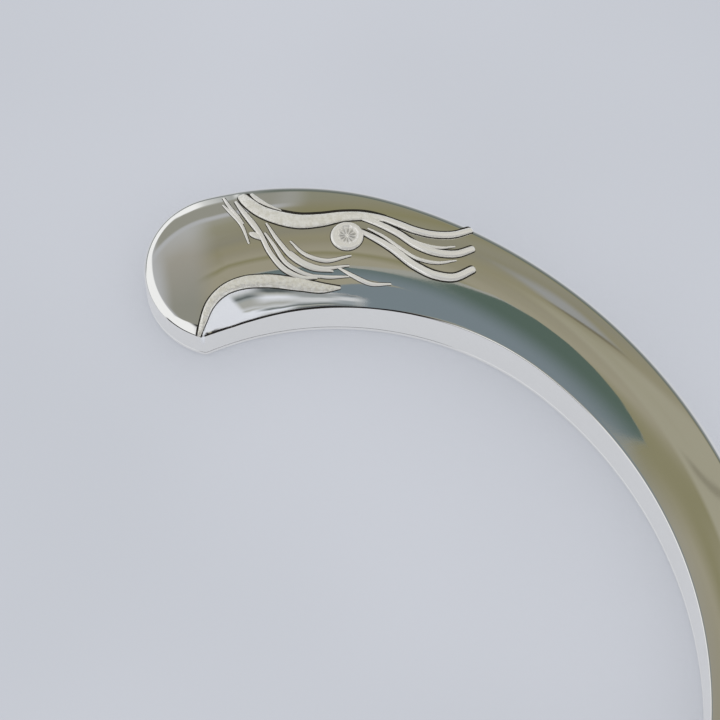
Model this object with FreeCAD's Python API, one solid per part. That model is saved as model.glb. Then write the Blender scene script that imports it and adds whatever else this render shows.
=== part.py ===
"""A hollow silver baby rattle: a C-shaped bar with a stylised head at each end and loose beads sealed inside.

The C lies flat with its back on Z = 0 and opens towards -X. It is symmetric about the XZ plane.
The plan outline is made of tangent arcs: a side arc and a shoulder arc on the inside of the C, the same pair
on the outside, and a round nose at each end.
The face is crowned: it is the envelope of a ball that rolls along the spine of the bar.
All lengths are in millimetres and all angles in degrees.
"""

import FreeCAD, Part
import math
import os

Vector = FreeCAD.Vector
UP = Vector(0, 0, 1)

# Spine, the middle line of the bar
spine_side_radius = 46.5
spine_shoulder_radius = 29.3
spine_turn = 59.3

# How far the outer edge's arcs are above the spine's, and the inner edge's below them
side_radius_spread = 5.8
shoulder_radius_spread = 0.3
turn_spread = 11.6

# Bar
side_width = 7.3
bar_height = 5.9
crown_radius = 16.0
rim_round = 0.4

# Head
nose_turn = 105.3
beak_overhang = 0.7
beak_round = 0.8

# Sheet metal
wall = 0.6
plate_thickness = 0.7
plate_round = 0.3
solder_gap = 0.05

# Strips that line the plate up with the walls
strip_thickness = 0.5
strip_height = 1.2

# Baffles between the bead channel and the hollow heads
baffle_thickness = 0.6
baffle_turn = 57.0

# Vent plugs
plug_radius = 0.75
plug_clearance = 0.02

# Beads
bead_count = 10
bead_radius = 1.6
bead_lift = 0.1

# Relief on the heads, above the crowned face
brow_relief = 0.35
strand_relief = 0.3
jaw_relief = 0.35
tendril_relief = 0.2
eye_relief = 0.3
eye_radius = 1.5
eye_dimple_radius = 0.8
eye_dimple_depth = 0.3

# Places on a head are (back, across): millimetres back along the spine from the nose's middle, and
# millimetres outward across the bar. A crescent lies between two arcs that share their ends.
eye_place = (11.7, 0.7)
brow_crescent = {"start": (3.4, 5.9), "outer": (7.4, 3.1), "end": (14.6, 3.3), "inner": (7.2, 1.9)}
strand_crescents = (
    {"start": (13.6, 3.2), "outer": (17.6, 2.7), "end": (22.0, 4.4), "inner": (17.8, 2.1)},
    {"start": (13.4, 2.8), "outer": (18.3, 1.0), "end": (22.9, 2.7), "inner": (18.4, 0.4)},
    {"start": (13.3, 1.2), "outer": (18.7, -1.0), "end": (23.9, 0.7), "inner": (18.9, -1.7)},
)
jaw_crescent = {"start": (-5.0, -5.4), "outer": (1.0, -2.8), "end": (11.0, -4.5), "inner": (1.6, -4.1)}
tendril_crescents = (
    {"start": (2.4, 4.7), "outer": (4.2, 0.9), "end": (8.6, -3.6), "inner": (3.7, 0.6)},
    {"start": (4.6, 2.0), "outer": (6.7, -1.4), "end": (10.2, -3.0), "inner": (6.3, -1.9)},
    {"start": (7.2, -1.0), "outer": (9.7, -1.7), "end": (12.1, -1.5), "inner": (9.7, -2.3)},
)


def polar(center, radius, angle):
    """Return the point at a radius and angle from a center, in the XY plane."""
    turn = math.radians(angle)
    return Vector(center.x + radius * math.cos(turn), center.y + radius * math.sin(turn), 0)


def bearing(center, point):
    """Return the angle at which a point lies from a center."""
    return math.degrees(math.atan2(point.y - center.y, point.x - center.x))


def mirrored(point):
    """Return the point on the other half of the C."""
    return Vector(point.x, -point.y, point.z)


def where_circles_meet(center_a, radius_a, center_b, radius_b):
    """Return the meeting point of two circles that lies further towards -X."""
    between = center_b - center_a
    distance = between.Length
    along = (distance ** 2 + radius_a ** 2 - radius_b ** 2) / (2 * distance)
    across = math.sqrt(radius_a ** 2 - along ** 2)
    foot = center_a + between * (along / distance)
    sideways = Vector(-between.y, between.x, 0) * (across / distance)
    return min((foot + sideways, foot - sideways), key=lambda point: point.x)


class Edge:
    """One long edge of the C: a side arc on the X axis with a tangent shoulder arc at its upper end."""

    def __init__(self, right_x, side_radius, shoulder_radius, turn):
        self.side_radius = side_radius
        self.shoulder_radius = shoulder_radius
        self.turn = turn
        self.side_center = Vector(right_x - side_radius, 0, 0)
        self.shoulder_center = polar(self.side_center, side_radius - shoulder_radius, turn)

    def on_side(self, angle, outward=0.0):
        """Return a point on the side arc, moved outward."""
        return polar(self.side_center, self.side_radius + outward, angle)

    def on_shoulder(self, angle, outward=0.0):
        """Return a point on the shoulder arc, moved outward."""
        return polar(self.shoulder_center, self.shoulder_radius + outward, angle)


def reach(center, radius, origin, angle):
    """Return how far from an origin inside a circle a ray at an angle meets that circle."""
    ray = polar(Vector(0, 0, 0), 1, angle)
    offset = center - origin
    along = ray.dot(offset)
    return along + math.sqrt(along ** 2 - offset.dot(offset) + radius ** 2)


# The C is first laid out with its outer edge's right at X = 0, to find its width.
trial_outer = Edge(
    0.0,
    spine_side_radius + side_radius_spread,
    spine_shoulder_radius + shoulder_radius_spread,
    spine_turn + turn_spread,
)
trial_inner = Edge(
    -side_width,
    spine_side_radius - side_radius_spread,
    spine_shoulder_radius - shoulder_radius_spread,
    spine_turn - turn_spread,
)
inner_reach = reach(
    trial_inner.shoulder_center, trial_inner.shoulder_radius, trial_outer.shoulder_center, nose_turn
)
nose_radius = (trial_outer.shoulder_radius - inner_reach) / 2 + beak_overhang
trial_nose = polar(trial_outer.shoulder_center, trial_outer.shoulder_radius - nose_radius, nose_turn)

# Then it is centred, so that its box in X is split evenly by the origin.
outer_right = (nose_radius - trial_nose.x) / 2
outer_edge = Edge(outer_right, trial_outer.side_radius, trial_outer.shoulder_radius, trial_outer.turn)
inner_edge = Edge(
    outer_right - side_width, trial_inner.side_radius, trial_inner.shoulder_radius, trial_inner.turn
)
spine = Edge(outer_right - side_width / 2, spine_side_radius, spine_shoulder_radius, spine_turn)
nose_center = trial_nose + Vector(outer_right, 0, 0)
spine_end_angle = bearing(spine.shoulder_center, nose_center)
spine_end = spine.on_shoulder(spine_end_angle)


def arc(center, radius, start, end):
    """Return an arc edge from one angle to another about a center."""
    middle = (start + end) / 2
    return Part.Arc(
        polar(center, radius, start), polar(center, radius, middle), polar(center, radius, end)
    ).toShape()


def outline_face(inset):
    """Return the plan of the whole C, moved inward from its outer surface by an inset."""
    inner_side = inner_edge.side_radius + inset
    inner_shoulder = inner_edge.shoulder_radius + inset
    outer_side = outer_edge.side_radius - inset
    outer_shoulder = outer_edge.shoulder_radius - inset
    nose = nose_radius - inset
    corner = max(beak_round - inset, 0.0)
    corner_center = where_circles_meet(
        inner_edge.shoulder_center, inner_shoulder + corner, nose_center, nose - corner
    )
    corner_start = bearing(inner_edge.shoulder_center, corner_center)
    corner_end = bearing(nose_center, corner_center)
    half = [
        arc(inner_edge.side_center, inner_side, 0, inner_edge.turn),
        arc(inner_edge.shoulder_center, inner_shoulder, inner_edge.turn, corner_start),
    ]
    if corner > 0:
        half.append(arc(corner_center, corner, corner_start + 180, corner_end + 360))
    half += [
        arc(nose_center, nose, corner_end + 360, nose_turn),
        arc(outer_edge.shoulder_center, outer_shoulder, nose_turn, outer_edge.turn),
        arc(outer_edge.side_center, outer_side, outer_edge.turn, 0),
    ]
    other_half = [edge.mirror(Vector(0, 0, 0), Vector(0, 1, 0)) for edge in half]
    return Part.Face(Part.Wire(Part.__sortEdges__(half + other_half)))


def prism(face, bottom, top):
    """Return a plan face raised into a solid between two heights."""
    return face.translated(Vector(0, 0, bottom)).extrude(Vector(0, 0, top - bottom))


def rolled_ball(radius):
    """Return the solid swept by a ball that rolls along the spine, with its middle where the crown's is."""
    level = bar_height - crown_radius
    pieces = []
    stretches = [
        (spine.side_center, spine.side_radius, -spine.turn, 2 * spine.turn),
        (spine.shoulder_center, spine.shoulder_radius, spine.turn, spine_end_angle - spine.turn),
        (
            mirrored(spine.shoulder_center),
            spine.shoulder_radius,
            -spine_end_angle,
            spine_end_angle - spine.turn,
        ),
    ]
    for center, arc_radius, start, sweep in stretches:
        hub = Vector(center.x, center.y, level)
        section_center = polar(center, arc_radius, start) + Vector(0, 0, level)
        forward = polar(Vector(0, 0, 0), 1, start + 90)
        section = Part.Face(Part.Wire(Part.makeCircle(radius, section_center, forward)))
        pieces.append(section.revolve(hub, UP, sweep))
    for tip in (spine_end, mirrored(spine_end)):
        pieces.append(Part.makeSphere(radius, tip + Vector(0, 0, level)))
    return pieces[0].multiFuse(pieces[1:])


def crowned_bar(inset, bottom):
    """Return the crowned C moved inward by an inset all over, standing on a height."""
    return prism(outline_face(inset), bottom, bar_height).common(rolled_ball(crown_radius - inset))


def rim_edges(bar):
    """Return the edges where the crowned face of a bar meets its upright sides."""
    found = []
    for edge in bar.Edges:
        if min(vertex.Z for vertex in edge.Vertexes) < plate_thickness + rim_round:
            continue
        neighbours = [face for face in bar.Faces if any(edge.isSame(other) for other in face.Edges)]
        upright = [face for face in neighbours if is_upright(face)]
        if len(neighbours) == 2 and len(upright) == 1:
            found.append(edge)
    return found


def is_upright(face):
    """Return whether a face stands at right angles to the back of the bar."""
    u_low, u_high, v_low, v_high = face.ParameterRange
    normal = face.normalAt((u_low + u_high) / 2, (v_low + v_high) / 2)
    return abs(normal.z) < 0.01


def head_point(place):
    """Return the plan point at a (back, across) place on the upper head."""
    back, across = place
    return spine.on_shoulder(spine_end_angle - math.degrees(back / spine.shoulder_radius), across)


def raised(face, relief):
    """Return a plan face, kept within the rim, as a solid that stands a relief above the crowned face."""
    within_rim = face.common(outline_face(rim_round))
    block = prism(within_rim, plate_thickness + wall, bar_height + relief)
    return block.common(rolled_ball(crown_radius + relief))


def crescent(corners, relief):
    """Return one raised crescent of a head's ornament."""
    start = head_point(corners["start"])
    end = head_point(corners["end"])
    outer = Part.Arc(start, head_point(corners["outer"]), end).toShape()
    inner = Part.Arc(end, head_point(corners["inner"]), start).toShape()
    return raised(Part.Face(Part.Wire([outer, inner])), relief)


def eye():
    """Return the raised round eye with its dimple."""
    middle = head_point(eye_place)
    boss = raised(Part.Face(Part.Wire(Part.makeCircle(eye_radius, middle))), eye_relief)
    ball_radius = (eye_dimple_radius ** 2 + eye_dimple_depth ** 2) / (2 * eye_dimple_depth)
    ball_height = bar_height + eye_relief - eye_dimple_depth + ball_radius
    return boss.cut(Part.makeSphere(ball_radius, middle + Vector(0, 0, ball_height)))


def head_ornament():
    """Return the raised pieces of the upper head's ornament."""
    pieces = [eye(), crescent(brow_crescent, brow_relief), crescent(jaw_crescent, jaw_relief)]
    pieces += [crescent(corners, strand_relief) for corners in strand_crescents]
    pieces += [crescent(corners, tendril_relief) for corners in tendril_crescents]
    return pieces


def front_shell():
    """Return the stamped shell: crowned face, side walls and the relief of both heads."""
    bar = crowned_bar(0.0, plate_thickness)
    bar = bar.makeFillet(rim_round, rim_edges(bar))
    ornament = head_ornament()
    ornament += [piece.mirror(Vector(0, 0, 0), Vector(0, 1, 0)) for piece in ornament]
    return bar.multiFuse(ornament).cut(crowned_bar(wall, plate_thickness))


def vent_places():
    """Return the plan points of the two vent holes, one under each head."""
    return nose_center, mirrored(nose_center)


def back_plate():
    """Return the flat plate that closes the hollow from below, with its vent holes."""
    plate = prism(outline_face(0.0), 0.0, plate_thickness)
    lower_edges = [edge for edge in plate.Edges if max(vertex.Z for vertex in edge.Vertexes) < 0.01]
    plate = plate.makeFillet(plate_round, lower_edges)
    for place in vent_places():
        plate = plate.cut(Part.makeCylinder(plug_radius + plug_clearance, plate_thickness, place))
    return plate


def slab_across(side, thickness):
    """Return a slab that crosses the bar at a baffle's place, on the +1 or -1 side of the XZ plane."""
    length = spine_shoulder_radius
    corner = Vector(-length / 2, -thickness / 2, -bar_height)
    slab = Part.makeBox(length, thickness, 3 * bar_height, corner)
    slab.rotate(Vector(0, 0, 0), UP, side * baffle_turn)
    slab.translate(spine.on_side(side * baffle_turn))
    return slab


def baffle(side):
    """Return the plate across the hollow that keeps the beads out of a head."""
    return slab_across(side, baffle_thickness).common(crowned_bar(wall + solder_gap, plate_thickness))


def bearer_strips():
    """Return the four strips along the foot of the walls, by name."""
    foot = plate_thickness
    loop = prism(outline_face(wall + solder_gap), foot, foot + strip_height)
    loop = loop.cut(prism(outline_face(wall + solder_gap + strip_thickness), foot, foot + strip_height))
    for side in (1, -1):
        loop = loop.cut(slab_across(side, baffle_thickness + 2 * solder_gap))
    by_height = sorted(loop.Solids, key=lambda solid: solid.CenterOfMass.y)
    lower, middle, upper = by_height[0], by_height[1:3], by_height[3]
    inner, outer = sorted(middle, key=lambda solid: solid.BoundBox.XMax)
    return {
        "upper_head_bearer_strip": upper,
        "lower_head_bearer_strip": lower,
        "inner_bearer_strip": inner,
        "outer_bearer_strip": outer,
    }


def vent_plug(place):
    """Return the plug that closes a vent hole, flush with both faces of the plate."""
    return Part.makeCylinder(plug_radius, plate_thickness, place)


def bead(index):
    """Return one bead, in the middle of its own stretch of the channel between the baffles."""
    half_channel = baffle_turn - math.degrees(baffle_thickness / 2 / spine.side_radius)
    angle = (2 * index + 1 - bead_count) / bead_count * half_channel
    height = plate_thickness + bead_lift + bead_radius
    return Part.makeSphere(bead_radius, spine.on_side(angle) + Vector(0, 0, height))


def all_pieces():
    """Return every piece of the rattle, by name."""
    upper_vent, lower_vent = vent_places()
    pieces = {
        "front_shell": front_shell(),
        "back_plate": back_plate(),
        "upper_baffle": baffle(1),
        "lower_baffle": baffle(-1),
        "upper_vent_plug": vent_plug(upper_vent),
        "lower_vent_plug": vent_plug(lower_vent),
    }
    pieces.update(bearer_strips())
    for index in range(bead_count):
        pieces["bead_%02d" % (index + 1)] = bead(index)
    return pieces


def main():
    """Write each piece to a STEP file of its own."""
    os.makedirs("parts", exist_ok=True)
    for name, shape in all_pieces().items():
        solids = shape.Solids
        print(name, "solids", len(solids), "valid", shape.isValid(), "volume %.2f" % shape.Volume)
        piece = solids[0] if len(solids) == 1 else shape
        piece.exportStep(os.path.join("parts", name + ".step"))


main()
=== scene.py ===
"""A silver baby rattle: a hollow C-shaped bar with a bird's head at each end and beads sealed inside.

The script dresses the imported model. The stamped front shell and the back plate are modelled again as fine
meshes in the same place, the ornament of both heads is added as raised pieces, and the parts inside the
hollow keep their shapes and get their metals. Sizes in the classes are in millimetres.
"""

import logging
import math
from dataclasses import dataclass, field
from enum import Enum

import bpy
import numpy as np
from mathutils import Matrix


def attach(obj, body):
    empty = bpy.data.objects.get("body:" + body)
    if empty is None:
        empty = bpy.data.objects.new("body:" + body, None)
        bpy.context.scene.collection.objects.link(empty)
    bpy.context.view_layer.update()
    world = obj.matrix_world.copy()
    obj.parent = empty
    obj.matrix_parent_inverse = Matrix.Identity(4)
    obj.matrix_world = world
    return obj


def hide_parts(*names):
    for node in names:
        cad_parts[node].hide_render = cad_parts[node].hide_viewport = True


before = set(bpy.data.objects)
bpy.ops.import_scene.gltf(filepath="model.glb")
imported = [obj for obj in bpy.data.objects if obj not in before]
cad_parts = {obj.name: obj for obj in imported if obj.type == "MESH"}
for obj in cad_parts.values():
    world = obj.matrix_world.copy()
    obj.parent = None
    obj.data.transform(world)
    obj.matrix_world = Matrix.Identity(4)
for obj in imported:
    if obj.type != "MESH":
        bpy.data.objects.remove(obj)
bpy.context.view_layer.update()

LOG = logging.getLogger("baby_rattle")
# One millimetre in metres, and then lengths in millimetres.
MM = 0.001
MERGE_WITHIN = 0.0008
THINNEST_FACE = 0.0002
NO_MEETING = 1e6
FAR_FROM_RIM = 9.0

Colour = tuple[float, float, float]
PlanPoint = tuple[float, float]
RidgePoint = tuple[float, float, float, float]
Span = tuple[float, float]
Socket = bpy.types.NodeSocket
Source = bpy.types.NodeSocket | float | tuple[float, ...]


class Side(Enum):
    """The two long sides of the C, by the sign of the way across the bar."""

    OUTER = 1
    INNER = -1


class Head(Enum):
    """The two heads, by the sign of Y."""

    UPPER = 1
    LOWER = -1


class Grain(Enum):
    """How the surface of a silver part was left."""

    POLISHED = "polished"
    SATIN = "satin"
    STIPPLED = "stippled"


# ---------------------------------------------------------------------------------------------------------
# Small helpers
# ---------------------------------------------------------------------------------------------------------


def unit(angle: np.ndarray) -> np.ndarray:
    """Return unit vectors in the plan at angles in degrees."""
    turn = np.radians(angle)
    return np.stack([np.cos(turn), np.sin(turn)], axis=-1)


def smooth_step(low: float, high: float, value: np.ndarray) -> np.ndarray:
    """Return 0 below low, 1 above high and a smooth rise between them."""
    part = np.clip((np.asarray(value, float) - low) / (high - low), 0.0, 1.0)
    return part * part * (3.0 - 2.0 * part)


def deselect_all() -> None:
    """Leave edit mode and drop the selection, so that an operator reaches only the new piece."""
    if bpy.context.object is not None and bpy.context.object.mode != "OBJECT":
        bpy.ops.object.mode_set(mode="OBJECT")
    bpy.ops.object.select_all(action="DESELECT")


def place_vertices(piece: bpy.types.Object, points: np.ndarray) -> None:
    """Move every vertex of a piece to its place.

    Args:
        piece: the object whose mesh is moved.
        points: one row of X, Y and Z in millimetres for each vertex.
    """
    piece.data.vertices.foreach_set("co", (points * MM).astype(np.float32).ravel())
    piece.data.update()


def close_and_smooth(piece: bpy.types.Object, angle: float = 32.0) -> None:
    """Merge doubles, turn the faces outward and shade them smooth up to an angle.

    Args:
        piece: the object to close.
        angle: the sharpest turn in degrees that is still shaded smooth.
    """
    deselect_all()
    piece.select_set(True)
    bpy.context.view_layer.objects.active = piece
    bpy.ops.object.mode_set(mode="EDIT")
    bpy.ops.mesh.select_all(action="SELECT")
    bpy.ops.mesh.remove_doubles(threshold=MERGE_WITHIN * MM)
    bpy.ops.mesh.dissolve_degenerate(threshold=THINNEST_FACE * MM)
    bpy.ops.mesh.normals_make_consistent(inside=False)
    bpy.ops.object.mode_set(mode="OBJECT")
    bpy.ops.object.shade_smooth_by_angle(angle=math.radians(angle))
    piece.select_set(False)


def add_attribute(piece: bpy.types.Object, name: str, values: np.ndarray) -> None:
    """Store one number for each vertex, for the materials to read.

    Args:
        piece: the object that gets the attribute.
        name: the attribute's name.
        values: one number for each vertex.
    """
    layer = piece.data.attributes.new(name=name, type="FLOAT", domain="POINT")
    layer.data.foreach_set("value", np.asarray(values, np.float32).ravel())


def join_pieces(pieces: list[bpy.types.Object], name: str) -> bpy.types.Object:
    """Join several objects into one and name it.

    Args:
        pieces: the objects to join.
        name: the name of the result.

    Returns:
        The joined object.
    """
    deselect_all()
    for piece in pieces:
        piece.select_set(True)
    bpy.context.view_layer.objects.active = pieces[0]
    bpy.ops.object.join()
    joined = bpy.context.object
    joined.name = name
    joined.data.name = name
    joined.select_set(False)
    return joined


# ---------------------------------------------------------------------------------------------------------
# The plan of the C
# ---------------------------------------------------------------------------------------------------------


@dataclass(frozen=True)
class Round:
    """One circle of the plan, in millimetres."""

    x: float
    y: float
    radius: float

    @property
    def center(self) -> np.ndarray:
        """Return the circle's centre."""
        return np.array([self.x, self.y])

    def at(self, angle: np.ndarray) -> np.ndarray:
        """Return the points of the circle at angles in degrees."""
        return self.center + self.radius * unit(angle)

    def bearing(self, points: np.ndarray) -> np.ndarray:
        """Return the angles in degrees at which points lie from the centre."""
        away = points - self.center
        return np.degrees(np.arctan2(away[..., 1], away[..., 0]))

    def reach(self, start: np.ndarray, way: np.ndarray, far: bool) -> np.ndarray:
        """Return how far along a line it meets the circle.

        Args:
            start: points that the lines start from.
            way: unit vectors of the lines.
            far: whether to take the further of the two crossings.

        Returns:
            The distances, or a very large number where a line misses.
        """
        offset = self.center - start
        along = np.sum(offset * way, axis=-1)
        square = along**2 - np.sum(offset * offset, axis=-1) + self.radius**2
        root = np.sqrt(np.maximum(square, 0.0))
        distance = along + root if far else along - root
        return np.where((square > 0.0) & (distance > 0.0), distance, NO_MEETING)


@dataclass(frozen=True)
class BarPlan:
    """The C seen from above, and the height of its crowned face, in millimetres."""

    spine_side: Round = Round(-20.9339, 0.0, 46.5)
    spine_shoulder: Round = Round(-12.1526, 14.7895, 29.3)
    spine_turn: float = 59.3
    spine_end: float = 108.4854
    outer_side: Round = Round(-23.0839, 0.0, 52.3)
    outer_shoulder: Round = Round(-15.6561, 21.4506, 29.6)
    outer_turn: float = 70.9
    inner_side: Round = Round(-18.7839, 0.0, 40.7)
    inner_shoulder: Round = Round(-10.9098, 8.6537, 29.0)
    inner_turn: float = 47.7
    nose: Round = Round(-21.4058, 42.4678, 7.8102)
    nose_turn: float = 105.3
    beak_round: float = 0.8
    crown_radius: float = 16.0
    bar_height: float = 5.9
    fan_rows: int = 72
    head_rows: int = 204
    bar_rows: int = 52

    @property
    def pole(self) -> np.ndarray:
        """Return the spine's end, round which the nose's rows fan out."""
        return self.spine_shoulder.at(np.array(self.spine_end))

    @property
    def beak(self) -> Round:
        """Work out the small circle that rounds the beak's corner.

        Returns:
            The circle, which touches the inner edge and the nose from inside.
        """
        first = self.inner_shoulder.center
        second = self.nose.center
        first_radius = self.inner_shoulder.radius + self.beak_round
        second_radius = self.nose.radius - self.beak_round
        between = second - first
        distance = float(np.hypot(*between))
        along = (distance**2 + first_radius**2 - second_radius**2) / (2.0 * distance)
        across = math.sqrt(first_radius**2 - along**2)
        foot = first + between * (along / distance)
        sideways = np.array([-between[1], between[0]]) * (across / distance)
        corner = min((foot + sideways, foot - sideways), key=lambda point: point[0])
        return Round(float(corner[0]), float(corner[1]), self.beak_round)

    def half_rows(self) -> tuple[np.ndarray, np.ndarray, np.ndarray]:
        """Lay out the rows of the upper half, from the nose's tip to the middle of the bar.

        Returns:
            The rows' starting points on the spine, and their unit vectors outward and inward.
        """
        fan = np.linspace(90.0, 0.0, self.fan_rows, endpoint=False)
        head = np.linspace(self.spine_end, self.spine_turn, self.head_rows, endpoint=False)
        bar = np.linspace(self.spine_turn, 0.0, self.bar_rows + 1)
        starts = [
            np.repeat(self.pole[None, :], self.fan_rows, axis=0),
            self.spine_shoulder.at(head),
            self.spine_side.at(bar),
        ]
        outward = [unit(self.spine_end + fan), unit(head), unit(bar)]
        inward = [unit(self.spine_end + 180.0 - fan), unit(head + 180.0), unit(bar + 180.0)]
        return np.concatenate(starts), np.concatenate(outward), np.concatenate(inward)

    def outer_edge(self, start: np.ndarray, way: np.ndarray) -> tuple[np.ndarray, np.ndarray]:
        """Find where the rows meet the outer edge.

        Args:
            start: the rows' starting points on the spine.
            way: the rows' unit vectors outward.

        Returns:
            The edge's points, and its outward normals there.
        """
        side = start + way * self.outer_side.reach(start, way, True)[:, None]
        shoulder = start + way * self.outer_shoulder.reach(start, way, True)[:, None]
        nose = start + way * self.nose.reach(start, way, True)[:, None]
        on_side = self.outer_side.bearing(side) <= self.outer_turn
        on_shoulder = ~on_side & (self.outer_shoulder.bearing(shoulder) <= self.nose_turn)
        points = np.where(on_side[:, None], side, np.where(on_shoulder[:, None], shoulder, nose))
        centers = np.where(
            on_side[:, None],
            self.outer_side.center,
            np.where(on_shoulder[:, None], self.outer_shoulder.center, self.nose.center),
        )
        normals = points - centers
        return points, normals / np.linalg.norm(normals, axis=1, keepdims=True)

    def inner_edge(self, start: np.ndarray, way: np.ndarray) -> tuple[np.ndarray, np.ndarray]:
        """Find where the rows meet the inner edge, the beak's corner or the nose.

        Args:
            start: the rows' starting points on the spine.
            way: the rows' unit vectors inward.

        Returns:
            The edge's points, and its outward normals there.
        """
        beak = self.beak
        side_reach = self.inner_side.reach(start, way, False)
        side = start + way * side_reach[:, None]
        on_side = (side_reach < NO_MEETING) & (self.inner_side.bearing(side) <= self.inner_turn)
        shoulder_reach = self.inner_shoulder.reach(start, way, False)
        nose_reach = self.nose.reach(start, way, True)
        beak_reach = beak.reach(start, way, True)
        heel = self.inner_shoulder.center
        from_heel = beak.center - heel
        from_nose = beak.center - self.nose.center
        first = heel + from_heel * self.inner_shoulder.radius / np.hypot(*from_heel)
        second = self.nose.center + from_nose * self.nose.radius / np.hypot(*from_nose)
        turn_first = self._turn(way, first - start)
        turn_second = self._turn(way, second - start)
        is_fan = np.hypot(*(start - self.pole).T) < 1e-6
        on_beak = is_fan & (turn_first >= 0.0) & (turn_second <= 0.0)
        on_nose = is_fan & ~on_beak & (turn_second > 0.0)
        reach = np.where(on_side, side_reach, shoulder_reach)
        reach = np.where(on_beak, beak_reach, np.where(on_nose, nose_reach, reach))
        points = start + way * reach[:, None]
        inner_center = np.where(on_side[:, None], self.inner_side.center, self.inner_shoulder.center)
        normals = inner_center - points
        normals = np.where(on_beak[:, None], points - beak.center, normals)
        normals = np.where(on_nose[:, None], points - self.nose.center, normals)
        return points, normals / np.linalg.norm(normals, axis=1, keepdims=True)

    @staticmethod
    def _turn(way: np.ndarray, other: np.ndarray) -> np.ndarray:
        """Return the turn from one plan vector to another as a cross product."""
        return way[:, 0] * other[:, 1] - way[:, 1] * other[:, 0]

    def from_spine(self, points: np.ndarray) -> np.ndarray:
        """Measure how far plan points lie from the spine.

        Args:
            points: plan points on either half.

        Returns:
            The distances.
        """
        upper = np.stack([points[..., 0], np.abs(points[..., 1])], axis=-1)
        side = np.abs(np.linalg.norm(upper - self.spine_side.center, axis=-1) - self.spine_side.radius)
        shoulder = np.abs(
            np.linalg.norm(upper - self.spine_shoulder.center, axis=-1) - self.spine_shoulder.radius
        )
        end = np.linalg.norm(upper - self.pole, axis=-1)
        is_side = self.spine_side.bearing(upper) <= self.spine_turn
        is_shoulder = self.spine_shoulder.bearing(upper) <= self.spine_end
        return np.where(is_side, side, np.where(is_shoulder, shoulder, end))

    def crown(self, points: np.ndarray, inset: float = 0.0) -> np.ndarray:
        """Find the height of the plain crowned face.

        Args:
            points: plan points on either half.
            inset: how far the crown is moved in, all over.

        Returns:
            The height over each point.
        """
        radius = self.crown_radius - inset
        level = self.bar_height - self.crown_radius
        return level + np.sqrt(np.maximum(radius**2 - self.from_spine(points) ** 2, 1.0))

    def head_place(self, points: np.ndarray) -> tuple[np.ndarray, np.ndarray]:
        """Place plan points on a head.

        Args:
            points: plan points on either half.

        Returns:
            How far back along the spine and how far across it each point lies.
        """
        upper = np.stack([points[..., 0], np.abs(points[..., 1])], axis=-1)
        turn = self.spine_end - self.spine_shoulder.bearing(upper)
        back = np.radians(turn) * self.spine_shoulder.radius
        across = np.linalg.norm(upper - self.spine_shoulder.center, axis=-1) - self.spine_shoulder.radius
        return back, across

    def head_point(self, back: np.ndarray, across: np.ndarray) -> np.ndarray:
        """Turn places on a head into plan points of the upper head.

        Args:
            back: places back along the spine, in millimetres.
            across: places across the bar, in millimetres.

        Returns:
            The plan points.
        """
        angle = self.spine_end - np.degrees(np.asarray(back, float) / self.spine_shoulder.radius)
        away = self.spine_shoulder.radius + np.asarray(across, float)
        return self.spine_shoulder.center + away[..., None] * unit(angle)


# ---------------------------------------------------------------------------------------------------------
# The heads' large forms, worked into the shell's face
# ---------------------------------------------------------------------------------------------------------


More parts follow.
